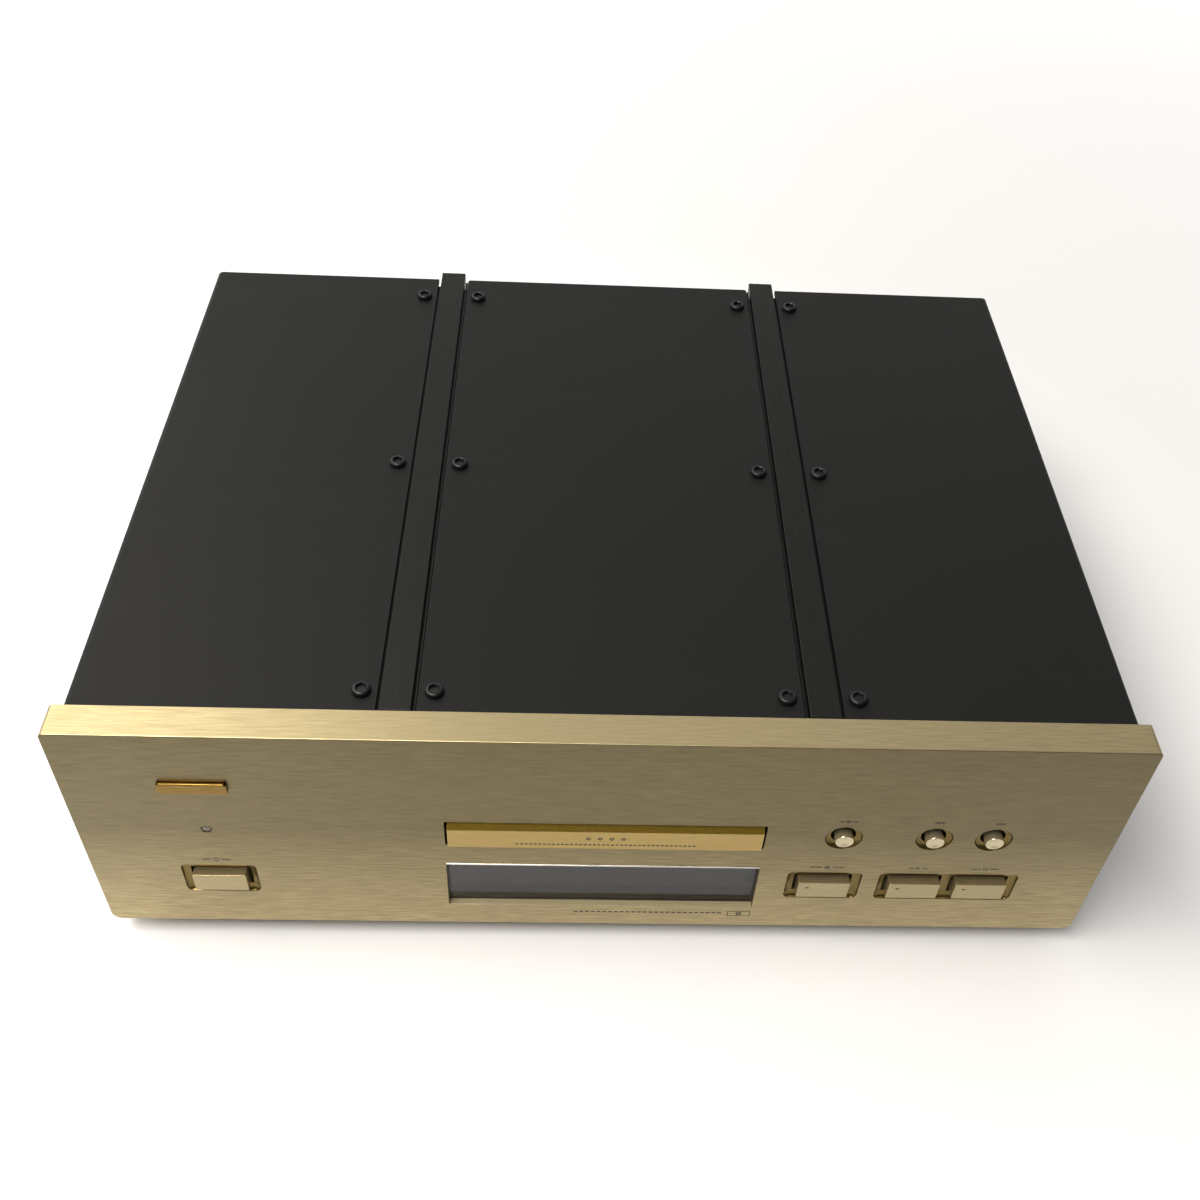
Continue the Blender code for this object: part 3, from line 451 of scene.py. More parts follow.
def powder(name, colour, roughness, dust=0.35, sheen=0.5):
    """Satin black coating with a fine texture, faint wipe marks and dust."""
    made = Nodes(name, colour, roughness, Specular_IOR_Level=sheen)
    texture = made.noise((1600.0, 1600.0, 1600.0), 2.0)
    wipes = made.noise((5.0, 34.0, 34.0), 4.0, 0.6, 1.4, turn=0.9)
    cloud = made.noise((7.0, 7.0, 7.0), 3.0, 0.5)
    marks = made.times(made.ramp(wipes, 0.0, 1.0, 0.52, 0.80), made.ramp(cloud, 0.0, 1.0, 0.45, 0.70))
    dusty = tuple(c * (1 + dust) + 0.012 * dust for c in colour)
    made.colour(made.blend(marks, colour, dusty))
    made.roughness(made.ramp(cloud, roughness - 0.04, roughness + 0.05))
    made.bump(texture, 0.12, 0.00003)
    return made.material


def plastic(name, colour, roughness, texture=900.0):
    """Moulded plastic with a fine spark texture and slight tone changes."""
    made = Nodes(name, colour, roughness)
    fine = made.noise((texture,) * 3, 3.0)
    drift = made.noise((30.0,) * 3, 2.0)
    lighter = tuple(min(1.0, c * 1.15 + 0.004) for c in colour)
    made.colour(made.blend(made.ramp(drift, 0.0, 1.0), colour, lighter))
    made.roughness(made.ramp(fine, roughness - 0.06, roughness + 0.06))
    made.bump(fine, 0.15, 0.00003)
    return made.material


def smoked_glass(name):
    """Dark see-through pane with faint smears."""
    made = Nodes(name, (0.012, 0.012, 0.013), 0.03, IOR=1.75, Alpha=0.62)
    smear = made.noise((14.0, 14.0, 60.0), 4.0, 0.6, 1.0)
    made.roughness(made.ramp(smear, 0.02, 0.09))
    return made.material


champagne = brushed("champagne_ground", (0.24, 0.192, 0.103), (0.60, 0.492, 0.274), 0.34, grain=0.4)
# Most of the panel, its front above all: a darker copy of the top's metal, darker still with height,
# painted shade.
champagne_front_painted_shade = brushed(
    "brushed_front_painted_shade", (0.112, 0.093, 0.050), (0.54, 0.436, 0.236), 0.34,
    strength=0.38, grain=0.47, painted_height_shade=0.22,
)
# The window's sill: a lighter, less metallic copy of the panel's metal on its upward faces, painted
# light.
sill_metal_painted_light = brushed(
    "sill_metal_painted_light", (0.30, 0.25, 0.14), (0.50, 0.42, 0.245), 0.45, metallic=0.3
)
# The pockets' and dishes' hollows: a dark brown copy of the panel's metal, painted shade.
pocket_painted_shade_metal = brushed("champagne_hollows_painted_shade", (0.07, 0.048, 0.014), (0.20, 0.145, 0.048), 0.32, grain=0.3)
# The strip above the window: polished metal, far paler than the panel's, partly a painted highlight.
polished = brushed(
    "pale_edge_painted_highlight", (0.78, 0.75, 0.68), (0.94, 0.91, 0.85), 0.28, strength=0.05, grain=0.1
)
knob_metal = brushed(
    "knob_turned", (0.36, 0.31, 0.20), (0.62, 0.54, 0.36), 0.16, strength=0.06, grain=0.2, metallic=0.80
)
key_metal = brushed(
    "key_brushed", (0.245, 0.198, 0.104), (0.412, 0.336, 0.182), 0.28,
    strength=0.15, grain=0.3, metallic=0.72,
)
gold = brushed(
    "gold_polished", (0.28, 0.18, 0.045), (0.42, 0.30, 0.105), 0.22,
    strength=0.08, grain=0.3, metallic=0.8,
)
# The lid's sloping top face: a darker copy of the gold, painted shade.
slope_gold_painted_shade = brushed(
    "slope_gold_painted_shade", (0.22, 0.13, 0.014), (0.40, 0.26, 0.036), 0.25,
    strength=0.08, grain=0.3, metallic=0.8,
)
badge_gold = brushed("badge_gold", (0.10, 0.06, 0.012), (0.27, 0.170, 0.042), 0.25, grain=0.6)
black_sheet = powder("black_satin_coat", (0.0055, 0.0055, 0.0052), 0.48, sheen=0.19)
black_bar = brushed(
    "black_anodised_bar", (0.012, 0.012, 0.0115), (0.034, 0.034, 0.032), 0.42, BACK, 0.12, 0.3
)
black_steel = powder("blackened_steel", (0.003, 0.003, 0.003), 0.36, dust=0.2, sheen=0.4)
zinc = brushed("zinc_plated", (0.45, 0.45, 0.43), (0.68, 0.68, 0.66), 0.34, ACROSS, 0.10)
glass = smoked_glass("smoked_window")
dark_plastic = plastic("black_moulded", (0.014, 0.014, 0.014), 0.45)
pale_plastic = plastic("natural_acetal", (0.66, 0.65, 0.60), 0.42)
ink = plastic("printed_ink", (0.030, 0.024, 0.014), 0.55)
rubber = plastic("belt_rubber", (0.012, 0.012, 0.012), 0.75)
lamp_lens = plastic("lamp_lens", (0.13, 0.105, 0.068), 0.30)
display_grey = plastic("display_grey", (0.085, 0.080, 0.082), 0.35)
board_green = plastic("circuit_board", (0.020, 0.075, 0.030), 0.40, 500.0)
winding_tape = plastic("winding_tape", (0.34, 0.21, 0.030), 0.42, 300.0)
washer_white = plastic("insulator_white", (0.70, 0.69, 0.66), 0.40)
washer_red = plastic("insulator_red", (0.42, 0.030, 0.022), 0.40)
plated = brushed("gold_plated", (0.50, 0.34, 0.10), (0.72, 0.52, 0.20), 0.20, BACK, 0.05, 0.2)


# ---------------------------------------------------------------- front panel


def mouth():
    """(widening, depth) steps of an opening's rounded edge."""
    return edge_round(LIP)


def cove(steps):
    """(inset, depth) shares of a hollow quarter round, from its upper edge to its floor."""
    turn = [math.pi / 2 * step / steps for step in range(1, steps + 1)]
    return [(1 - math.cos(a), math.sin(a)) for a in turn]


def lipped_cutter(name, across, up, corner, depth):
    """Cutter for an opening with a slightly rounded mouth."""
    sections = [(rounded(grow(across, LIP), grow(up, LIP), corner), -OVERSHOOT)]
    sections += [(rounded(grow(across, out), grow(up, out), corner), back) for out, back in mouth()]
    sections.append((rounded(across, up, corner), depth))
    return loft(name, sections)


def pocket_cutter(name, across, up):
    """Cutter for a dished pocket: rounded mouth, then a cove down to a flat floor."""
    corner = POCKET_CORNER
    sections = [(rounded(grow(across, LIP), grow(up, LIP), corner), -OVERSHOOT)]
    sections += [(rounded(grow(across, out), grow(up, out), corner), back) for out, back in mouth()]
    for inward, deep in cove(8):
        inset = POCKET_BAND * inward
        corner = max(POCKET_CORNER - inset * 0.5, 0.0008)
        back = LIP + (POCKET_DEPTH - LIP) * deep
        sections.append((rounded(grow(across, -inset), grow(up, -inset), corner), back))
    return loft(name, sections)


def dish_cutter(name, across):
    """Cutter for a round dish with a hole through its floor."""
    profile = [(0.0, OVERSHOOT), (DISH_RADIUS + LIP, OVERSHOOT)]
    profile += [(DISH_RADIUS + out, -back) for out, back in mouth()]
    for inward, deep in cove(6):
        radius = DISH_RADIUS - (DISH_RADIUS - KNOB_HOLE) * inward
        profile.append((radius, -LIP - (POCKET_DEPTH - LIP) * deep))
    profile += [(KNOB_HOLE, -THROUGH), (0.0, -THROUGH)]
    return bake(turned(name, place(across, 0.0, KNOB_UP), profile, True, 64))


def lamp_cutter():
    """Cutter for the lamp's hole, with a countersunk mouth."""
    radius, widening, sink = LAMP_RADIUS + 0.0001, 0.0003, 0.0003
    profile = [
        (0.0, OVERSHOOT), (radius + widening, OVERSHOOT), (radius + widening, 0.0),
        (radius, -sink), (radius, -THROUGH), (0.0, -THROUGH),
    ]
    return bake(turned("lamp_hole", place(LAMP[0], 0.0, LAMP[1]), profile, True, 32))


def panel_surface(face):
    """Slot of a panel face: 0 front (painted shade with height), 1 top edge, 2 inside a pocket or dish
    (painted shade), 3 window's sill (painted light).
    """
    depth = face.center.y - FRONT
    up = face.center.z - BASE
    level = POCKET_UP[0] < up < POCKET_UP[1] or abs(up - KNOB_UP) < DISH_RADIUS
    beside = abs(face.center.x) > WINDOW[0][1] + 0.001
    if face.normal.z > 0.5 and up > PANEL_HEIGHT - 0.005:
        return 1
    # faces inside the pockets and dishes take the painted shade
    if LIP < depth < POCKET_DEPTH + 0.0001 and level and beside:
        return 2
    # the sill's upward faces take the painted light
    if face.normal.z > 0.7 and 0.0 < depth < WINDOW_LEDGE and abs(up - WINDOW[1][0]) < LIP * 2:
        return 3
    return 0


def front_panel():
    spans = [(-PANEL_HALF, PANEL_HALF), (0.0, PANEL_DEPTH), (0.0, PANEL_HEIGHT)]
    panel = slab("panel", spans, PANEL_LOW_CORNER, PANEL_EDGE, top_corner=PANEL_TOP_CORNER)
    tools = [
        lipped_cutter("slot_cutter", *SLOT, OPENING_CORNER, THROUGH),
        lipped_cutter("window_cutter", *WINDOW, OPENING_CORNER, THROUGH),
    ]
    rebate = [grow(WINDOW[0], 0.003), (WINDOW_LEDGE, THROUGH), grow(WINDOW[1], 0.003)]
    tools.append(slab("rebate_cutter", rebate, 0.001, 0.0001))
    for name, across in POCKETS.items():
        tools.append(pocket_cutter(name + "_pocket_cutter", across, POCKET_UP))
    for name, across in KEYS.items():
        wide = grow((across, across), KEY_HOLE[0] / 2)
        tall = grow((KEY_UP, KEY_UP), KEY_HOLE[1] / 2)
        tools.append(slab(name + "_hole", [wide, (0.0005, THROUGH), tall], 0.0008, 0.0001))
    for name, across in KNOBS.items():
        tools.append(dish_cutter(name + "_dish", across))
    tools.append(lamp_cutter())
    cut(panel, *tools)
    piece(panel, champagne_front_painted_shade, replaces=["front_panel"])
    # slots 1 to 3: the top's metal, the hollows' painted shade and the sill's painted light
    for surface in (champagne, pocket_painted_shade_metal, sill_metal_painted_light):
        panel.data.materials.append(surface)
    for face in panel.data.polygons:
        face.material_index = panel_surface(face)


def window():
    """Smoked pane, a dark seal round it, a thin line at its foot and above it a polished strip whose
    pale colour is partly a painted highlight.
    """
    spans = span("display_window")
    pane = slab("window_pane", spans, 0.001, 0.0002)
    piece(pane, glass, replaces=["display_window"])
    face = spans[BACK][0]
    across, up = WINDOW
    outer = rounded(grow(across, 0.0010), grow(up, 0.0010), 0.0008)
    inner = rounded(grow(across, -0.0006), grow(up, -0.0009), 0.0005)[::-1]
    seal = extruded("window_seal", [outer, inner], face - 0.0002, face - PRINT_GAP)
    piece(seal, dark_plastic)
    length = across[1] - across[0] - 0.0020
    printed("window_line", [bar((0.0, up[0] + 0.0027), length, 0.0004)], CASE, face)
    edge_up = (up[1] - 0.0007, up[1] + 0.0001)
    edge = slab("window_edge", [across, (-0.0004, 0.0012), edge_up], 0.0003, 0.0003)
    # its pale colour is partly a painted highlight
    piece(edge, polished)


def lamp():
    """Power lamp: a small domed lens just inside its hole."""
    profile = [(0.0, 0.0), (0.0010, -0.0001), (0.0018, -0.0003), (LAMP_RADIUS, -0.0007)]
    profile += [(LAMP_RADIUS, -LAMP_LENGTH), (0.0, -LAMP_LENGTH)]
    lens = turned("power_lamp", place(LAMP[0], 0.0, LAMP[1]), profile, True, 32)
    piece(lens, lamp_lens)


def badge():
    """Plain applied bar with rounded corners and edges."""
    across, up = BADGE
    piece(slab("badge", [across, (-BADGE_RISE, -PRINT_GAP), up], 0.0016, 0.0005), badge_gold)


# ---------------------------------------------------------------- buttons


def key(name, across):
    """Rectangular button with softly rounded edges and a flange behind the panel."""
    body = name + "_button"
    spans = span(body)
    cap_across = grow(spans[ACROSS], -KEY_FLANGE)
    cap_up = grow(spans[UP], -KEY_FLANGE)
    cap_back = (spans[BACK][0] + PRINT_RISE, FLANGE_BACK[1] - 0.0002)
    cap = slab(name + "_key", [cap_across, cap_back, cap_up], 0.0006, 0.0003)
    flange = slab("flange", [spans[ACROSS], FLANGE_BACK, spans[UP]], 0.001, 0.0002)
    stem_across = grow((across, across), 0.003)
    stem_back = (FLANGE_BACK[0] + 0.0004, spans[BACK][1])
    stem_up = grow((KEY_UP, KEY_UP), 0.002)
    stem = slab("stem", [stem_across, stem_back, stem_up], 0.0005, 0.0002)
    unite(cap, flange, stem)
    piece(cap, key_metal, body, [body])


def knob(name, across):
    """Round button with a hollowed face, a flange behind the panel and a stem."""
    body = name + "_button"
    low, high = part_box(body)
    face, end = FRONT - low[1], FRONT - high[1]
    hollow = [(0.0, 0.0007), (0.0012, 0.00065), (0.0024, 0.0004), (0.0032, 0.0001)]
    rim = [(KNOB_RADIUS - 0.0005, 0.0), (KNOB_RADIUS - 0.0002, 0.0001), (KNOB_RADIUS, 0.0004)]
    profile = [(radius, face - dip) for radius, dip in hollow + rim]
    near, far = -FLANGE_BACK[0], -FLANGE_BACK[1]
    profile += [(KNOB_RADIUS, near), (KNOB_FLANGE, near), (KNOB_FLANGE, far)]
    profile += [(KNOB_STEM, far), (KNOB_STEM, end), (0.0, end)]
    button = turned(name + "_knob", place(across, 0.0, KNOB_UP), profile, True, 64)
    piece(button, knob_metal, body, [body])


# ---------------------------------------------------------------- tray lid


def tray_lid():
    """Polished bar whose sloping top edge gets a darker copy of the gold, painted shade."""
    (left, right), (front, rear), (low, high) = span("tray_lid")
    slope = 0.0033
    outline = [(front, low), (rear, low), (rear, high), (front + slope, high), (front, high - slope)]
    lid = extruded("tray_front", [outline], left, right, ACROSS, 0.00015)
    piece(lid, gold, "tray", ["tray_lid"])
    lid.data.materials.append(slope_gold_painted_shade)
    # the sloping face takes the painted shade
    for face in lid.data.polygons:
        if face.normal.z > 0.3 and face.normal.y < -0.3:
            face.material_index = 1


# ---------------------------------------------------------------- covers, beams and screws

SHEET = 0.002
COVER_BEND = 0.003
COVER_EDGE = 0.00025
BEAM_ACROSS = 0.087
BEAM_HALF = 0.0065
BEAM_EDGE = 0.0002
SHELF_BACK = (0.0153, 0.3165)     # the beam's flange under the covers' edges
SHELF_UP = (0.1299, 0.1339)
LIP_ACROSS = (0.0789, 0.0798)     # the thin lip between a beam and the centre cover
LIP_BACK = (0.0153, 0.322)
LIP_UP = (0.1309, 0.1352)
HEAD_TALL = 0.0022                # of the covers' screws


def side_cover(side, name):
    """Sheet bent down over the side, open below and at the rear."""
    (left, right), (front, rear), (low, high) = span("top_cover_" + name)
    inner = min(abs(left), abs(right))
    outer = max(abs(left), abs(right))
    corner = (outer - COVER_BEND, high - COVER_BEND)
    edge = [(inner, high - SHEET), (inner, high)]
    edge += arc(corner, COVER_BEND, 90, 0, 8)
    edge += [(outer, low), (outer - SHEET, low)]
    edge += arc(corner, COVER_BEND - SHEET, 0, 90, 6)
    edge = [(side * x, z) for x, z in edge]
    cover = extruded("cover_" + name, [edge], front, rear, BACK, COVER_EDGE)
    piece(cover, black_sheet, replaces=["top_cover_" + name])


def center_cover():
    cover = slab("cover_center", span("top_cover_center"), 0.0015, COVER_EDGE, UP)
    piece(cover, black_sheet, replaces=["top_cover_center"])


def beam(side, name):
    """Bar with crisp rounded edges, its flange and its thin lip."""
    spans = span("beam_" + name)
    middle = side * BEAM_ACROSS
    rail_across = grow((middle, middle), BEAM_HALF)
    rail = slab("bar_" + name, [rail_across, spans[BACK], spans[UP]], 0.0004, 0.0003)
    flange = slab("flange", [spans[ACROSS], SHELF_BACK, SHELF_UP], BEAM_EDGE, BEAM_EDGE)
    lip_across = tuple(sorted(side * edge for edge in LIP_ACROSS))
    lip = slab("lip", [lip_across, LIP_BACK, LIP_UP], BEAM_EDGE, BEAM_EDGE)
    unite(rail, flange, lip)
    piece(rail, black_bar, replaces=["beam_" + name])


def cone(name, sides, low_radius, high_radius, low, high):
    """Cone or prism standing on the Z axis at the origin."""
    bm = bmesh.new()
    bmesh.ops.create_cone(
        bm, cap_ends=True, segments=sides, radius1=low_radius, radius2=high_radius, depth=high - low
    )
    bmesh.ops.translate(bm, verts=bm.verts, vec=(0, 0, (low + high) / 2))
    return solid(name, bm)


def screw_mesh():
    """Button head with a chamfered hexagon socket, and its shank."""
    head = [(0.0, HEAD_TALL), (0.0030, HEAD_TALL), (0.0034, 0.0020), (0.0037, 0.0016)]
    head += [(0.0039, 0.0011), (0.0040, 0.0006), (0.0040, 0.0)]
    shank = [(0.0020, 0.0), (0.0020, -0.0090), (0.0016, -0.0094), (0.0, -0.0094)]
    screw = bake(turned("screw", (0, 0, 0), head + shank, False, 48))
    socket = cone("socket", 6, 0.0024, 0.0024, 0.0009, 0.0030)
    chamfer = cone("chamfer", 32, 0.0021, 0.0029, 0.0019, 0.0027)
    return cut(screw, socket, chamfer)


def cover_screws():
    pattern = screw_mesh()
    names = sorted(n for n in frame["nodes"] if n.startswith("cover_screw_"))
    for name in names:
        low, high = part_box(name)
        screw = bpy.data.objects.new(name.replace("cover_", "button_head_"), pattern.data.copy())
        bpy.context.scene.collection.objects.link(screw)
        screw.location = ((low[0] + high[0]) / 2, (low[1] + high[1]) / 2, high[2] - HEAD_TALL)
        piece(screw, black_steel, replaces=[name])
    bpy.data.objects.remove(pattern)


# ---------------------------------------------------------------- printed marks

MARK_TALL = 0.0020
KEY_MARK_UP = 0.0504
KNOB_MARK_UP = 0.0859


def printed(name, outlines, body=CASE, face=0.0):
    """Thin flat marks on a front-facing surface; a mark is one outline, or outlines with holes."""
    front = face - PRINT_RISE
    shapes = []
    for outline in outlines:
        loops = [outline] if isinstance(outline[0], tuple) else outline
        shapes.append(extruded(name + "_part", loops, front, front + PRINT_THICKNESS))
    piece(join(name, shapes), ink, body)


def bar(middle, width, height):
    x, z = middle
    return rectangle((x - width / 2, x + width / 2), (z - height / 2, z + height / 2))


def triangle(middle, width, height, side):
    """Triangle that points right for side 1 and left for side -1."""
    x, z = middle
    tip = side * width / 2
    return [(x - tip, z - height / 2), (x + tip, z), (x - tip, z + height / 2)]


def ring(middle, outer, inner):
    return [circle(middle, outer, 20), circle(middle, inner, 16)[::-1]]


def rules(middle, inner, outer):
    """Two short thin lines, one on each side of a symbol."""
    x, z = middle
    length = outer - inner
    return [bar((x + side * (inner + length / 2), z), length, 0.0006) for side in (-1, 1)]


def dashes(middle, width, height, number):
    """Row of short thin bars."""
    x, z = middle
    step = width / number
    starts = [x - width / 2 + step * count for count in range(number)]
    return [bar((start + step / 2, z), step * 0.65, height) for start in starts]


def key_marks():
    """A symbol between two rules above each key."""
    z = KEY_MARK_UP
    x = KEYS["power"]
    gapped = arc((x, z), 0.0012, 125, 415, 24) + arc((x, z), 0.0008, 415, 125, 24)
    stroke = bar((x, z + 0.0009), 0.0004, 0.0014)
    printed("power_mark", [gapped, stroke] + rules((x, z), 0.0022, 0.0060))
    x = KEYS["open_close"]
    arrow = [(x - 0.0014, z - 0.0002), (x + 0.0014, z - 0.0002), (x, z + 0.0012)]
    underline = bar((x, z - 0.0009), 0.0028, 0.0005)
    printed("open_close_mark", [arrow, underline] + rules((x, z), 0.0026, 0.0078))
    x = KEYS["play"]
    arrow = triangle((x, z), 0.0018, MARK_TALL, 1)
    printed("play_mark", [arrow] + rules((x, z), 0.0019, 0.0042))
    x = KEYS["pause"]
    strokes = [bar((x + dx, z), 0.0006, MARK_TALL) for dx in (-0.0006, 0.0006)]
    printed("pause_mark", strokes + rules((x, z), 0.0019, 0.0062))


def knob_marks():
    """A symbol above each knob."""
    z = KNOB_MARK_UP
    x = KNOBS["stop"]
    printed("stop_mark", [bar((x, z), 0.0016, 0.0016)] + rules((x, z), 0.0018, 0.0040))
    for name, side in (("previous", -1), ("next", 1)):
        x = KNOBS[name]
        shapes = [triangle((x + dx, z), 0.0017, MARK_TALL, side) for dx in (-0.0009, 0.0009)]
        shapes.append(bar((x + side * 0.0020, z), 0.0004, MARK_TALL))
        printed(name + "_mark", shapes)


def panel_marks():
    """A row of dashes and a framed ring under the window."""
    printed("panel_rule", dashes((0.0215, 0.0107), 0.0690, 0.0010, 26))
    left, right, low, high, line = 0.0583, 0.0690, 0.0080, 0.0124, 0.0004
    outer = rounded((left, right), (low, high), 0.0006)
    inner = rounded((left + line, right - line), (low + line, high - line), 0.0004)[::-1]
    middle = ((left + right) / 2, (low + high) / 2)
    disc = [circle(middle, 0.0014, 32), circle(middle, 0.0006, 16)[::-1]]
    printed("disc_mark", [[outer, inner], disc])


def lid_marks():
    """A row of dashes on the tray's lid, with four small rings above it."""
    lid_face = span("tray_lid")[BACK][0]
    printed("tray_rule", dashes((0.0, 0.0679), 0.0780, 0.0008, 40), "tray", lid_face)
    for number, dx in enumerate((-0.0075, -0.0025, 0.0025, 0.0075)):
        printed("tray_ring_%d" % (number + 1), [ring((dx, 0.0724), 0.0010, 0.0005)], "tray", lid_face)


def key_dots():
    """A small dot on the left part of three keys."""
    for name in ("open_close", "play", "pause"):
        spot = (KEYS[name] - 0.0074, KEY_UP + 0.0020)
        key_face = span(name + "_button")[BACK][0] + PRINT_RISE
        printed(name + "_dot", [bar(spot, 0.0016, 0.0009)], name + "_button", key_face)


# ---------------------------------------------------------------- rear, feet and inside


def softened(node, surface, edge):
    """The frame's own shape with its sharp edges slightly rounded."""
    source = frame["nodes"][node].data
    plain = bpy.data.meshes.new(node)
    plain.from_pydata([v.co for v in source.vertices], [], [tuple(p.vertices) for p in source.polygons])
    bm = bmesh.new()
    bm.from_mesh(plain)
    bpy.data.meshes.remove(plain)
    bmesh.ops.remove_doubles(bm, verts=bm.verts, dist=WELD)
    bmesh.ops.dissolve_limit(bm, angle_limit=math.radians(1), verts=bm.verts, edges=bm.edges)
    copy = solid(node + "_edged", bm)
    bevel = copy.modifiers.new("edges", "BEVEL")
    bevel.width = edge
    bevel.segments = 2
    bevel.limit_method = "ANGLE"
    bevel.angle_limit = math.radians(40)
    return piece(copy, surface, BODIES[node], [node])


def softened_nodes():
    """Everything that keeps the frame's own shape."""
    groups = [
        (black_sheet, 0.0004, ["bottom_plate", "rear_panel"]),
        (display_grey, 0.0003, ["display_module"]),
        (dark_plastic, 0.0004, ["disc_tray", "disc_clamper", "turntable", "optical_pickup"]),
        (pale_plastic, 0.00015, ["motor_pulley", "drive_gear", "sled_gear", "cam_slider"]),
        (rubber, 0.0002, ["loading_belt"]),
        (winding_tape, 0.0005, ["power_transformer"]),
        (plated, 0.0003, ["output_jack_left", "output_jack_right"]),
        (zinc, 0.0004, ["mechanism_side_left", "mechanism_side_right", "mechanism_deck"]),
        (zinc, 0.0004, ["clamp_bridge", "loading_motor", "spindle_motor", "sled_motor"]),
        (zinc, 0.0004, ["traverse_base"]),
        (zinc, 0.0002, ["guide_rod_left", "guide_rod_right"]),
    ]
    for surface, edge, nodes in groups:
        for node in nodes:
            softened(node, surface, edge)


FRONT_BOARD = 0.0220     # face of the board behind the panel, back from the panel's face
FLAT_BOARDS = 0.0116     # upper face of the two boards that lie flat
BOARD_PART = 0.0003      # parts stand out of a board's face by more than this
BOARD_POST = -0.0019     # and posts begin this far behind it


def circuit_board(node, normal, face):
    """Green board with dark parts on its face and steel posts behind it."""
    board = softened(node, board_green, 0.0002)
    board.data.materials.append(dark_plastic)
    board.data.materials.append(zinc)
    for side in board.data.polygons:
        out = (side.center[normal] - face) * (-1 if normal == BACK else 1)
        if out > BOARD_PART:
            side.material_index = 1
        elif out < BOARD_POST:
            side.material_index = 2


def circuit_boards():
    circuit_board("front_circuit_board", BACK, FRONT + FRONT_BOARD)
    for node in ("power_supply_board", "main_circuit_board"):
        circuit_board(node, UP, BASE + FLAT_BOARDS)


PIN_SPOTS = ((-0.007, -0.002), (0.007, -0.002), (0.0, 0.002))   # from the inlet's middle
PIN_HALF = (0.0012, 0.0022)
PIN_ROOTS = 0.0035       # from the inlet's inner end
PIN_LENGTH = 0.0115


def mains_inlet():
    """Inlet with three steel pins in its hollow."""
    inlet = softened("mains_inlet", dark_plastic, 0.0004)
    inlet.data.materials.append(zinc)
    spans = span("mains_inlet")
    across, up = [sum(spans[axis]) / 2 for axis in (ACROSS, UP)]
    roots = FRONT + spans[BACK][0] + PIN_ROOTS
    for face in inlet.data.polygons:
        along = roots < face.center.y < roots + PIN_LENGTH
        for dx, dz in PIN_SPOTS:
            aside = abs(face.center.x - across - dx) < PIN_HALF[0]
            level = abs(face.center.z - BASE - up - dz) < PIN_HALF[1]
            if along and aside and level:
                face.material_index = 1


def jack_washers():
    """Coloured insulating rings round the two sockets."""
    rear = span("rear_panel")[BACK][1]
    for side, surface in (("left", washer_white), ("right", washer_red)):
        spans = span("output_jack_" + side)
        middle = (sum(spans[ACROSS]) / 2, sum(spans[UP]) / 2)
        radius = (spans[ACROSS][1] - spans[ACROSS][0]) / 2
        loops = [circle(middle, radius + 0.0020), circle(middle, radius + 0.0001)[::-1]]
        piece(extruded("jack_washer_" + side, loops, rear, rear + 0.0012, BACK, 0.0002), surface)


REAR_SCREW_ACROSS = (-0.2050, -0.1150, -0.0350, 0.0350, 0.1150, 0.2050)
REAR_SCREW_UP = (0.0095, 0.1260)


def rear_screws():
    """Pan heads with cross recesses round the rear panel."""
    rear = span("rear_panel")[BACK][1]
    dome = [(0.0, 0.0), (0.0030, 0.0), (0.0031, 0.0004), (0.0030, 0.0010), (0.0024, 0.0016)]
    dome += [(0.0014, 0.0019), (0.0, 0.0020)]
    profile = [(radius, -rear - height) for radius, height in dome]
    pattern = bake(turned("pan_head", place(0.0, 0.0, 0.0), profile, True, 32))
    recess_back = (rear + 0.0008, rear + 0.0030)
    long, short = (-0.0016, 0.0016), (-0.0003, 0.0003)
    strokes = ((long, short), (short, long))
    slots = [slab("recess", [x, recess_back, z], 0.0001, 0.0001) for x, z in strokes]
    cut(pattern, unite(*slots))
    spots = [(across, up) for up in REAR_SCREW_UP for across in REAR_SCREW_ACROSS]
    for number, (across, up) in enumerate(spots, 1):
        screw = bpy.data.objects.new("rear_screw_%02d" % number, pattern.data.copy())
        bpy.context.scene.collection.objects.link(screw)
        screw.matrix_world = pattern.matrix_world
        screw.location += Vector((across, 0.0, up))
        piece(screw, black_steel)
    bpy.data.objects.remove(pattern)


def foot(node):
    """Turned foot with a groove and a rubber pad."""
    low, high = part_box(node)
    middle = (low + high) / 2
    centre = (middle.x, middle.y, low.z)
    radius, tall = (high.x - low.x) / 2, high.z - low.z
    groove = radius - 0.0008
    profile = [
        (0.0, tall), (radius - 0.0004, tall), (radius, tall - 0.0004),
        (radius, 0.0076), (groove, 0.0070), (groove, 0.0062), (radius, 0.0056),
        (radius, 0.0026), (radius - 0.0005, 0.0016), (radius - 0.0015, 0.0012), (0.0, 0.0012),
    ]
    body = turned(node + "_turned", centre, profile, steps=64)
    piece(body, dark_plastic, CASE, [node])
    pad = radius - 0.005
    tread = [(0.0, 0.0014), (pad, 0.0014), (pad, 0.0004), (pad - 0.0004, 0.0), (0.0, 0.0)]
    piece(turned(node + "_pad", centre, tread, steps=64), rubber)


# ---------------------------------------------------------------- stage

FLOOR_HALF = 4.0
PAPER = (0.86, 0.86, 0.86)
FLAG_BACK = (-0.24, -0.11)        # where the floor darkens in reflections, from the panel's face
GLOW_REACH = (0.45, 1.5)          # where the floor brightens, from the middle
SKY_TOWARD = (-0.6, 0.9, 0.0)     # where the sky is bright
SKY_SPREAD = (-0.5, 0.85)         # from dim to bright, as a share of the way toward that
SKY_LEVELS = (0.10, 0.88)
BACKDROP = 0.88                   # brightness of the sky that the camera sees


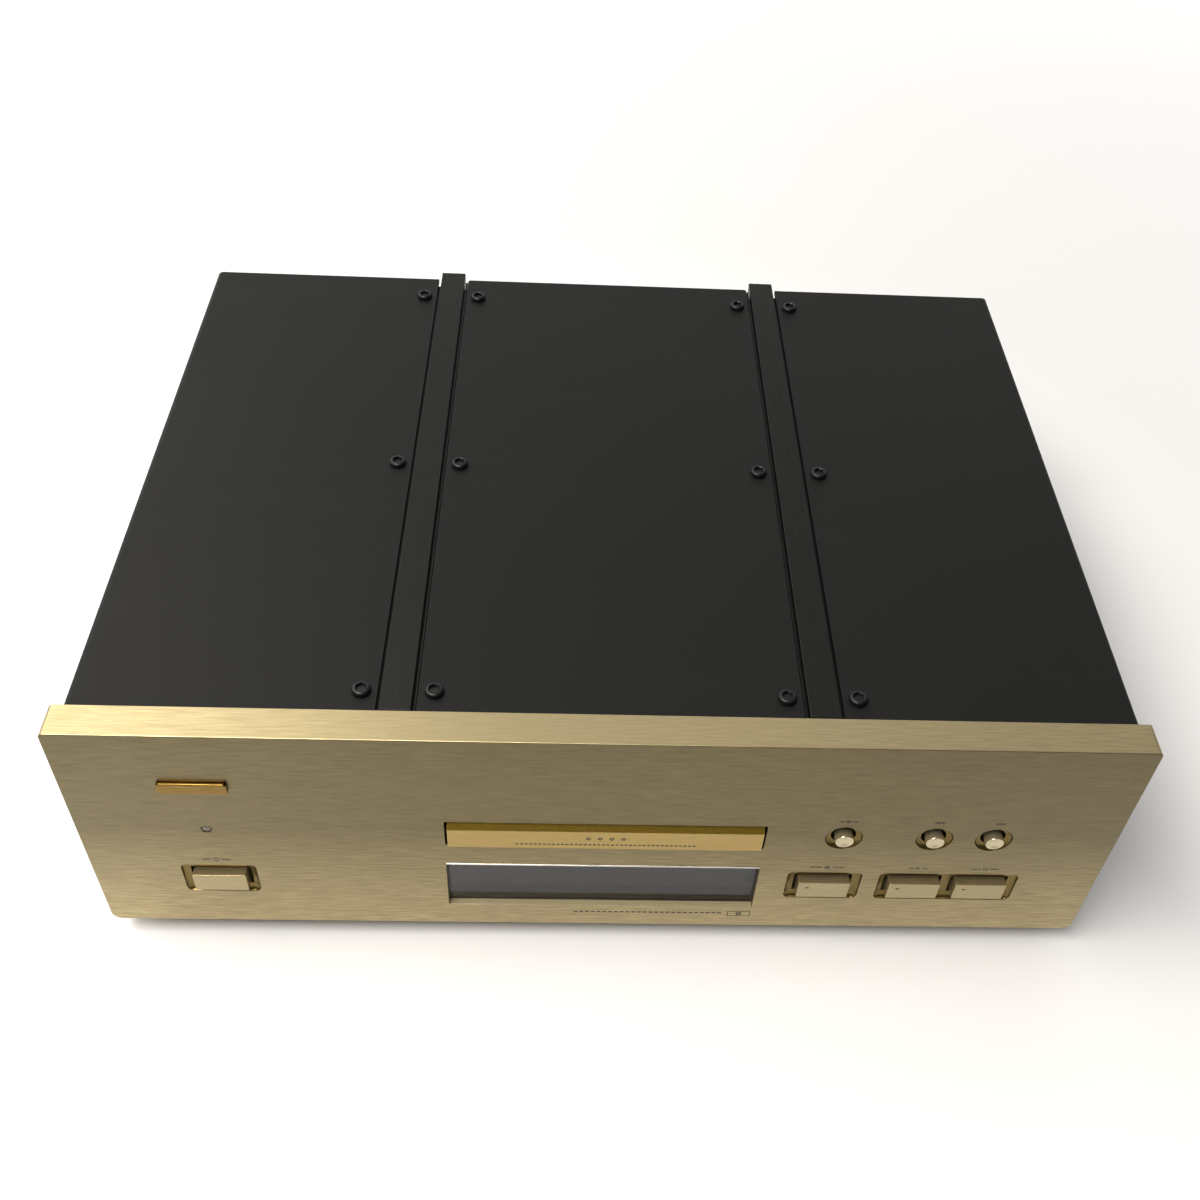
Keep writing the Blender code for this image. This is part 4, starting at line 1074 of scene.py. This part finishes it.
def floor():
    """Pale ground that brightens into the backdrop far off.

    Only reflections in the metal see it darken in front, as under a black flag.
    """
    bm = bmesh.new()
    bmesh.ops.create_grid(bm, x_segments=2, y_segments=2, size=FLOOR_HALF)
    ground = solid("floor", bm)
    made = Nodes("pale_floor", PAPER, 0.85)
    split = made.tree.nodes.new("ShaderNodeSeparateXYZ")
    made.link(made.coords, split.inputs["Vector"])
    near = made.ramp(split.outputs["Y"], 0.0, 1.0, FRONT + FLAG_BACK[0], FRONT + FLAG_BACK[1])
    paper = made.blend(made.noise((2.0, 2.0, 2.0)), PAPER, (0.90, 0.90, 0.90))
    flagged = made.blend(near, (0.22, 0.22, 0.21), paper)
    rays = made.tree.nodes.new("ShaderNodeLightPath")
    made.colour(made.blend(rays.outputs["Is Glossy Ray"], paper, flagged))
    away = made.tree.nodes.new("ShaderNodeVectorMath")
    away.operation = "LENGTH"
    made.link(made.coords, away.inputs[0])
    glow = made.ramp(away.outputs["Value"], 0.0, 0.6, *GLOW_REACH)
    made.shader.inputs["Emission Color"].default_value = (1.0, 0.99, 0.97, 1.0)
    made.link(made.times(glow, rays.outputs["Is Camera Ray"]), made.shader.inputs["Emission Strength"])
    ground.data.materials.append(made.material)


def area_light(name, spot, aim, size, power, colour):
    data = bpy.data.lights.new(name, "AREA")
    data.shape = "RECTANGLE"
    data.size, data.size_y = size
    data.energy = power
    data.color = colour
    lamp_obj = bpy.data.objects.new(name, data)
    lamp_obj.location = spot
    lamp_obj.rotation_euler = (Vector(aim) - Vector(spot)).to_track_quat("-Z", "Y").to_euler()
    bpy.context.scene.collection.objects.link(lamp_obj)


def lights():
    """Two soft boxes, one behind on the left and one above in front."""
    warm, mild = (1.0, 0.95, 0.87), (1.0, 0.96, 0.91)
    area_light("key", (-1.15, 0.85, 1.35), (-0.1, 0.0, 0.1), (1.2, 1.2), 8.7, warm)
    area_light("top", (-0.45, -0.45, 1.3), (-0.1, -0.25, 0.0), (1.2, 0.5), 24.0, mild)


def sky():
    """Sky that is bright behind and dim in front, with an even, pale backdrop for the camera."""
    world = bpy.data.worlds.new("studio")
    world.use_nodes = True
    tree = world.node_tree
    coords = tree.nodes.new("ShaderNodeTexCoord")
    toward = tree.nodes.new("ShaderNodeVectorMath")
    toward.operation = "DOT_PRODUCT"
    toward.inputs[1].default_value = SKY_TOWARD
    tree.links.new(coords.outputs["Generated"], toward.inputs[0])
    rise = tree.nodes.new("ShaderNodeMapRange")
    rise.inputs["From Min"].default_value = SKY_SPREAD[0]
    rise.inputs["From Max"].default_value = SKY_SPREAD[1]
    rise.inputs["To Min"].default_value = SKY_LEVELS[0]
    rise.inputs["To Max"].default_value = SKY_LEVELS[1]
    tree.links.new(toward.outputs["Value"], rise.inputs["Value"])
    backdrop = tree.nodes.new("ShaderNodeMix")
    backdrop.inputs["B"].default_value = BACKDROP
    rays = tree.nodes.new("ShaderNodeLightPath")
    tree.links.new(rays.outputs["Is Camera Ray"], backdrop.inputs["Factor"])
    tree.links.new(rise.outputs["Result"], backdrop.inputs["A"])
    background = tree.nodes["Background"]
    background.inputs["Color"].default_value = (1.0, 0.99, 0.97, 1.0)
    tree.links.new(backdrop.outputs["Result"], background.inputs["Strength"])
    bpy.context.scene.world = world


def camera():
    data = bpy.data.cameras.new("camera")
    data.lens = 40.19
    data.sensor_width = 36.0
    data.shift_x = -0.0270
    data.shift_y = -0.0442
    data.clip_start = 0.01
    cam = bpy.data.objects.new("camera", data)
    cam.location = place(-0.0207, -0.3212, 0.5626)
    cam.rotation_euler = [math.radians(a) for a in (45.445, -3.041, -1.056)]
    bpy.context.scene.collection.objects.link(cam)
    bpy.context.scene.camera = cam


camera()
lights()
sky()
floor()
bpy.context.scene.view_settings.view_transform = "Standard"
front_panel()
window()
lamp()
badge()
for key_name, key_across in KEYS.items():
    key(key_name, key_across)
for knob_name, knob_across in KNOBS.items():
    knob(knob_name, knob_across)
tray_lid()
for cover_side, side_name in ((-1, "left"), (1, "right")):
    side_cover(cover_side, side_name)
    beam(cover_side, side_name)
center_cover()
cover_screws()
key_marks()
knob_marks()
panel_marks()
lid_marks()
key_dots()
softened_nodes()
circuit_boards()
mains_inlet()
jack_washers()
rear_screws()
for end_name in ("front", "rear"):
    for side_name in ("left", "right"):
        foot("foot_%s_%s" % (end_name, side_name))
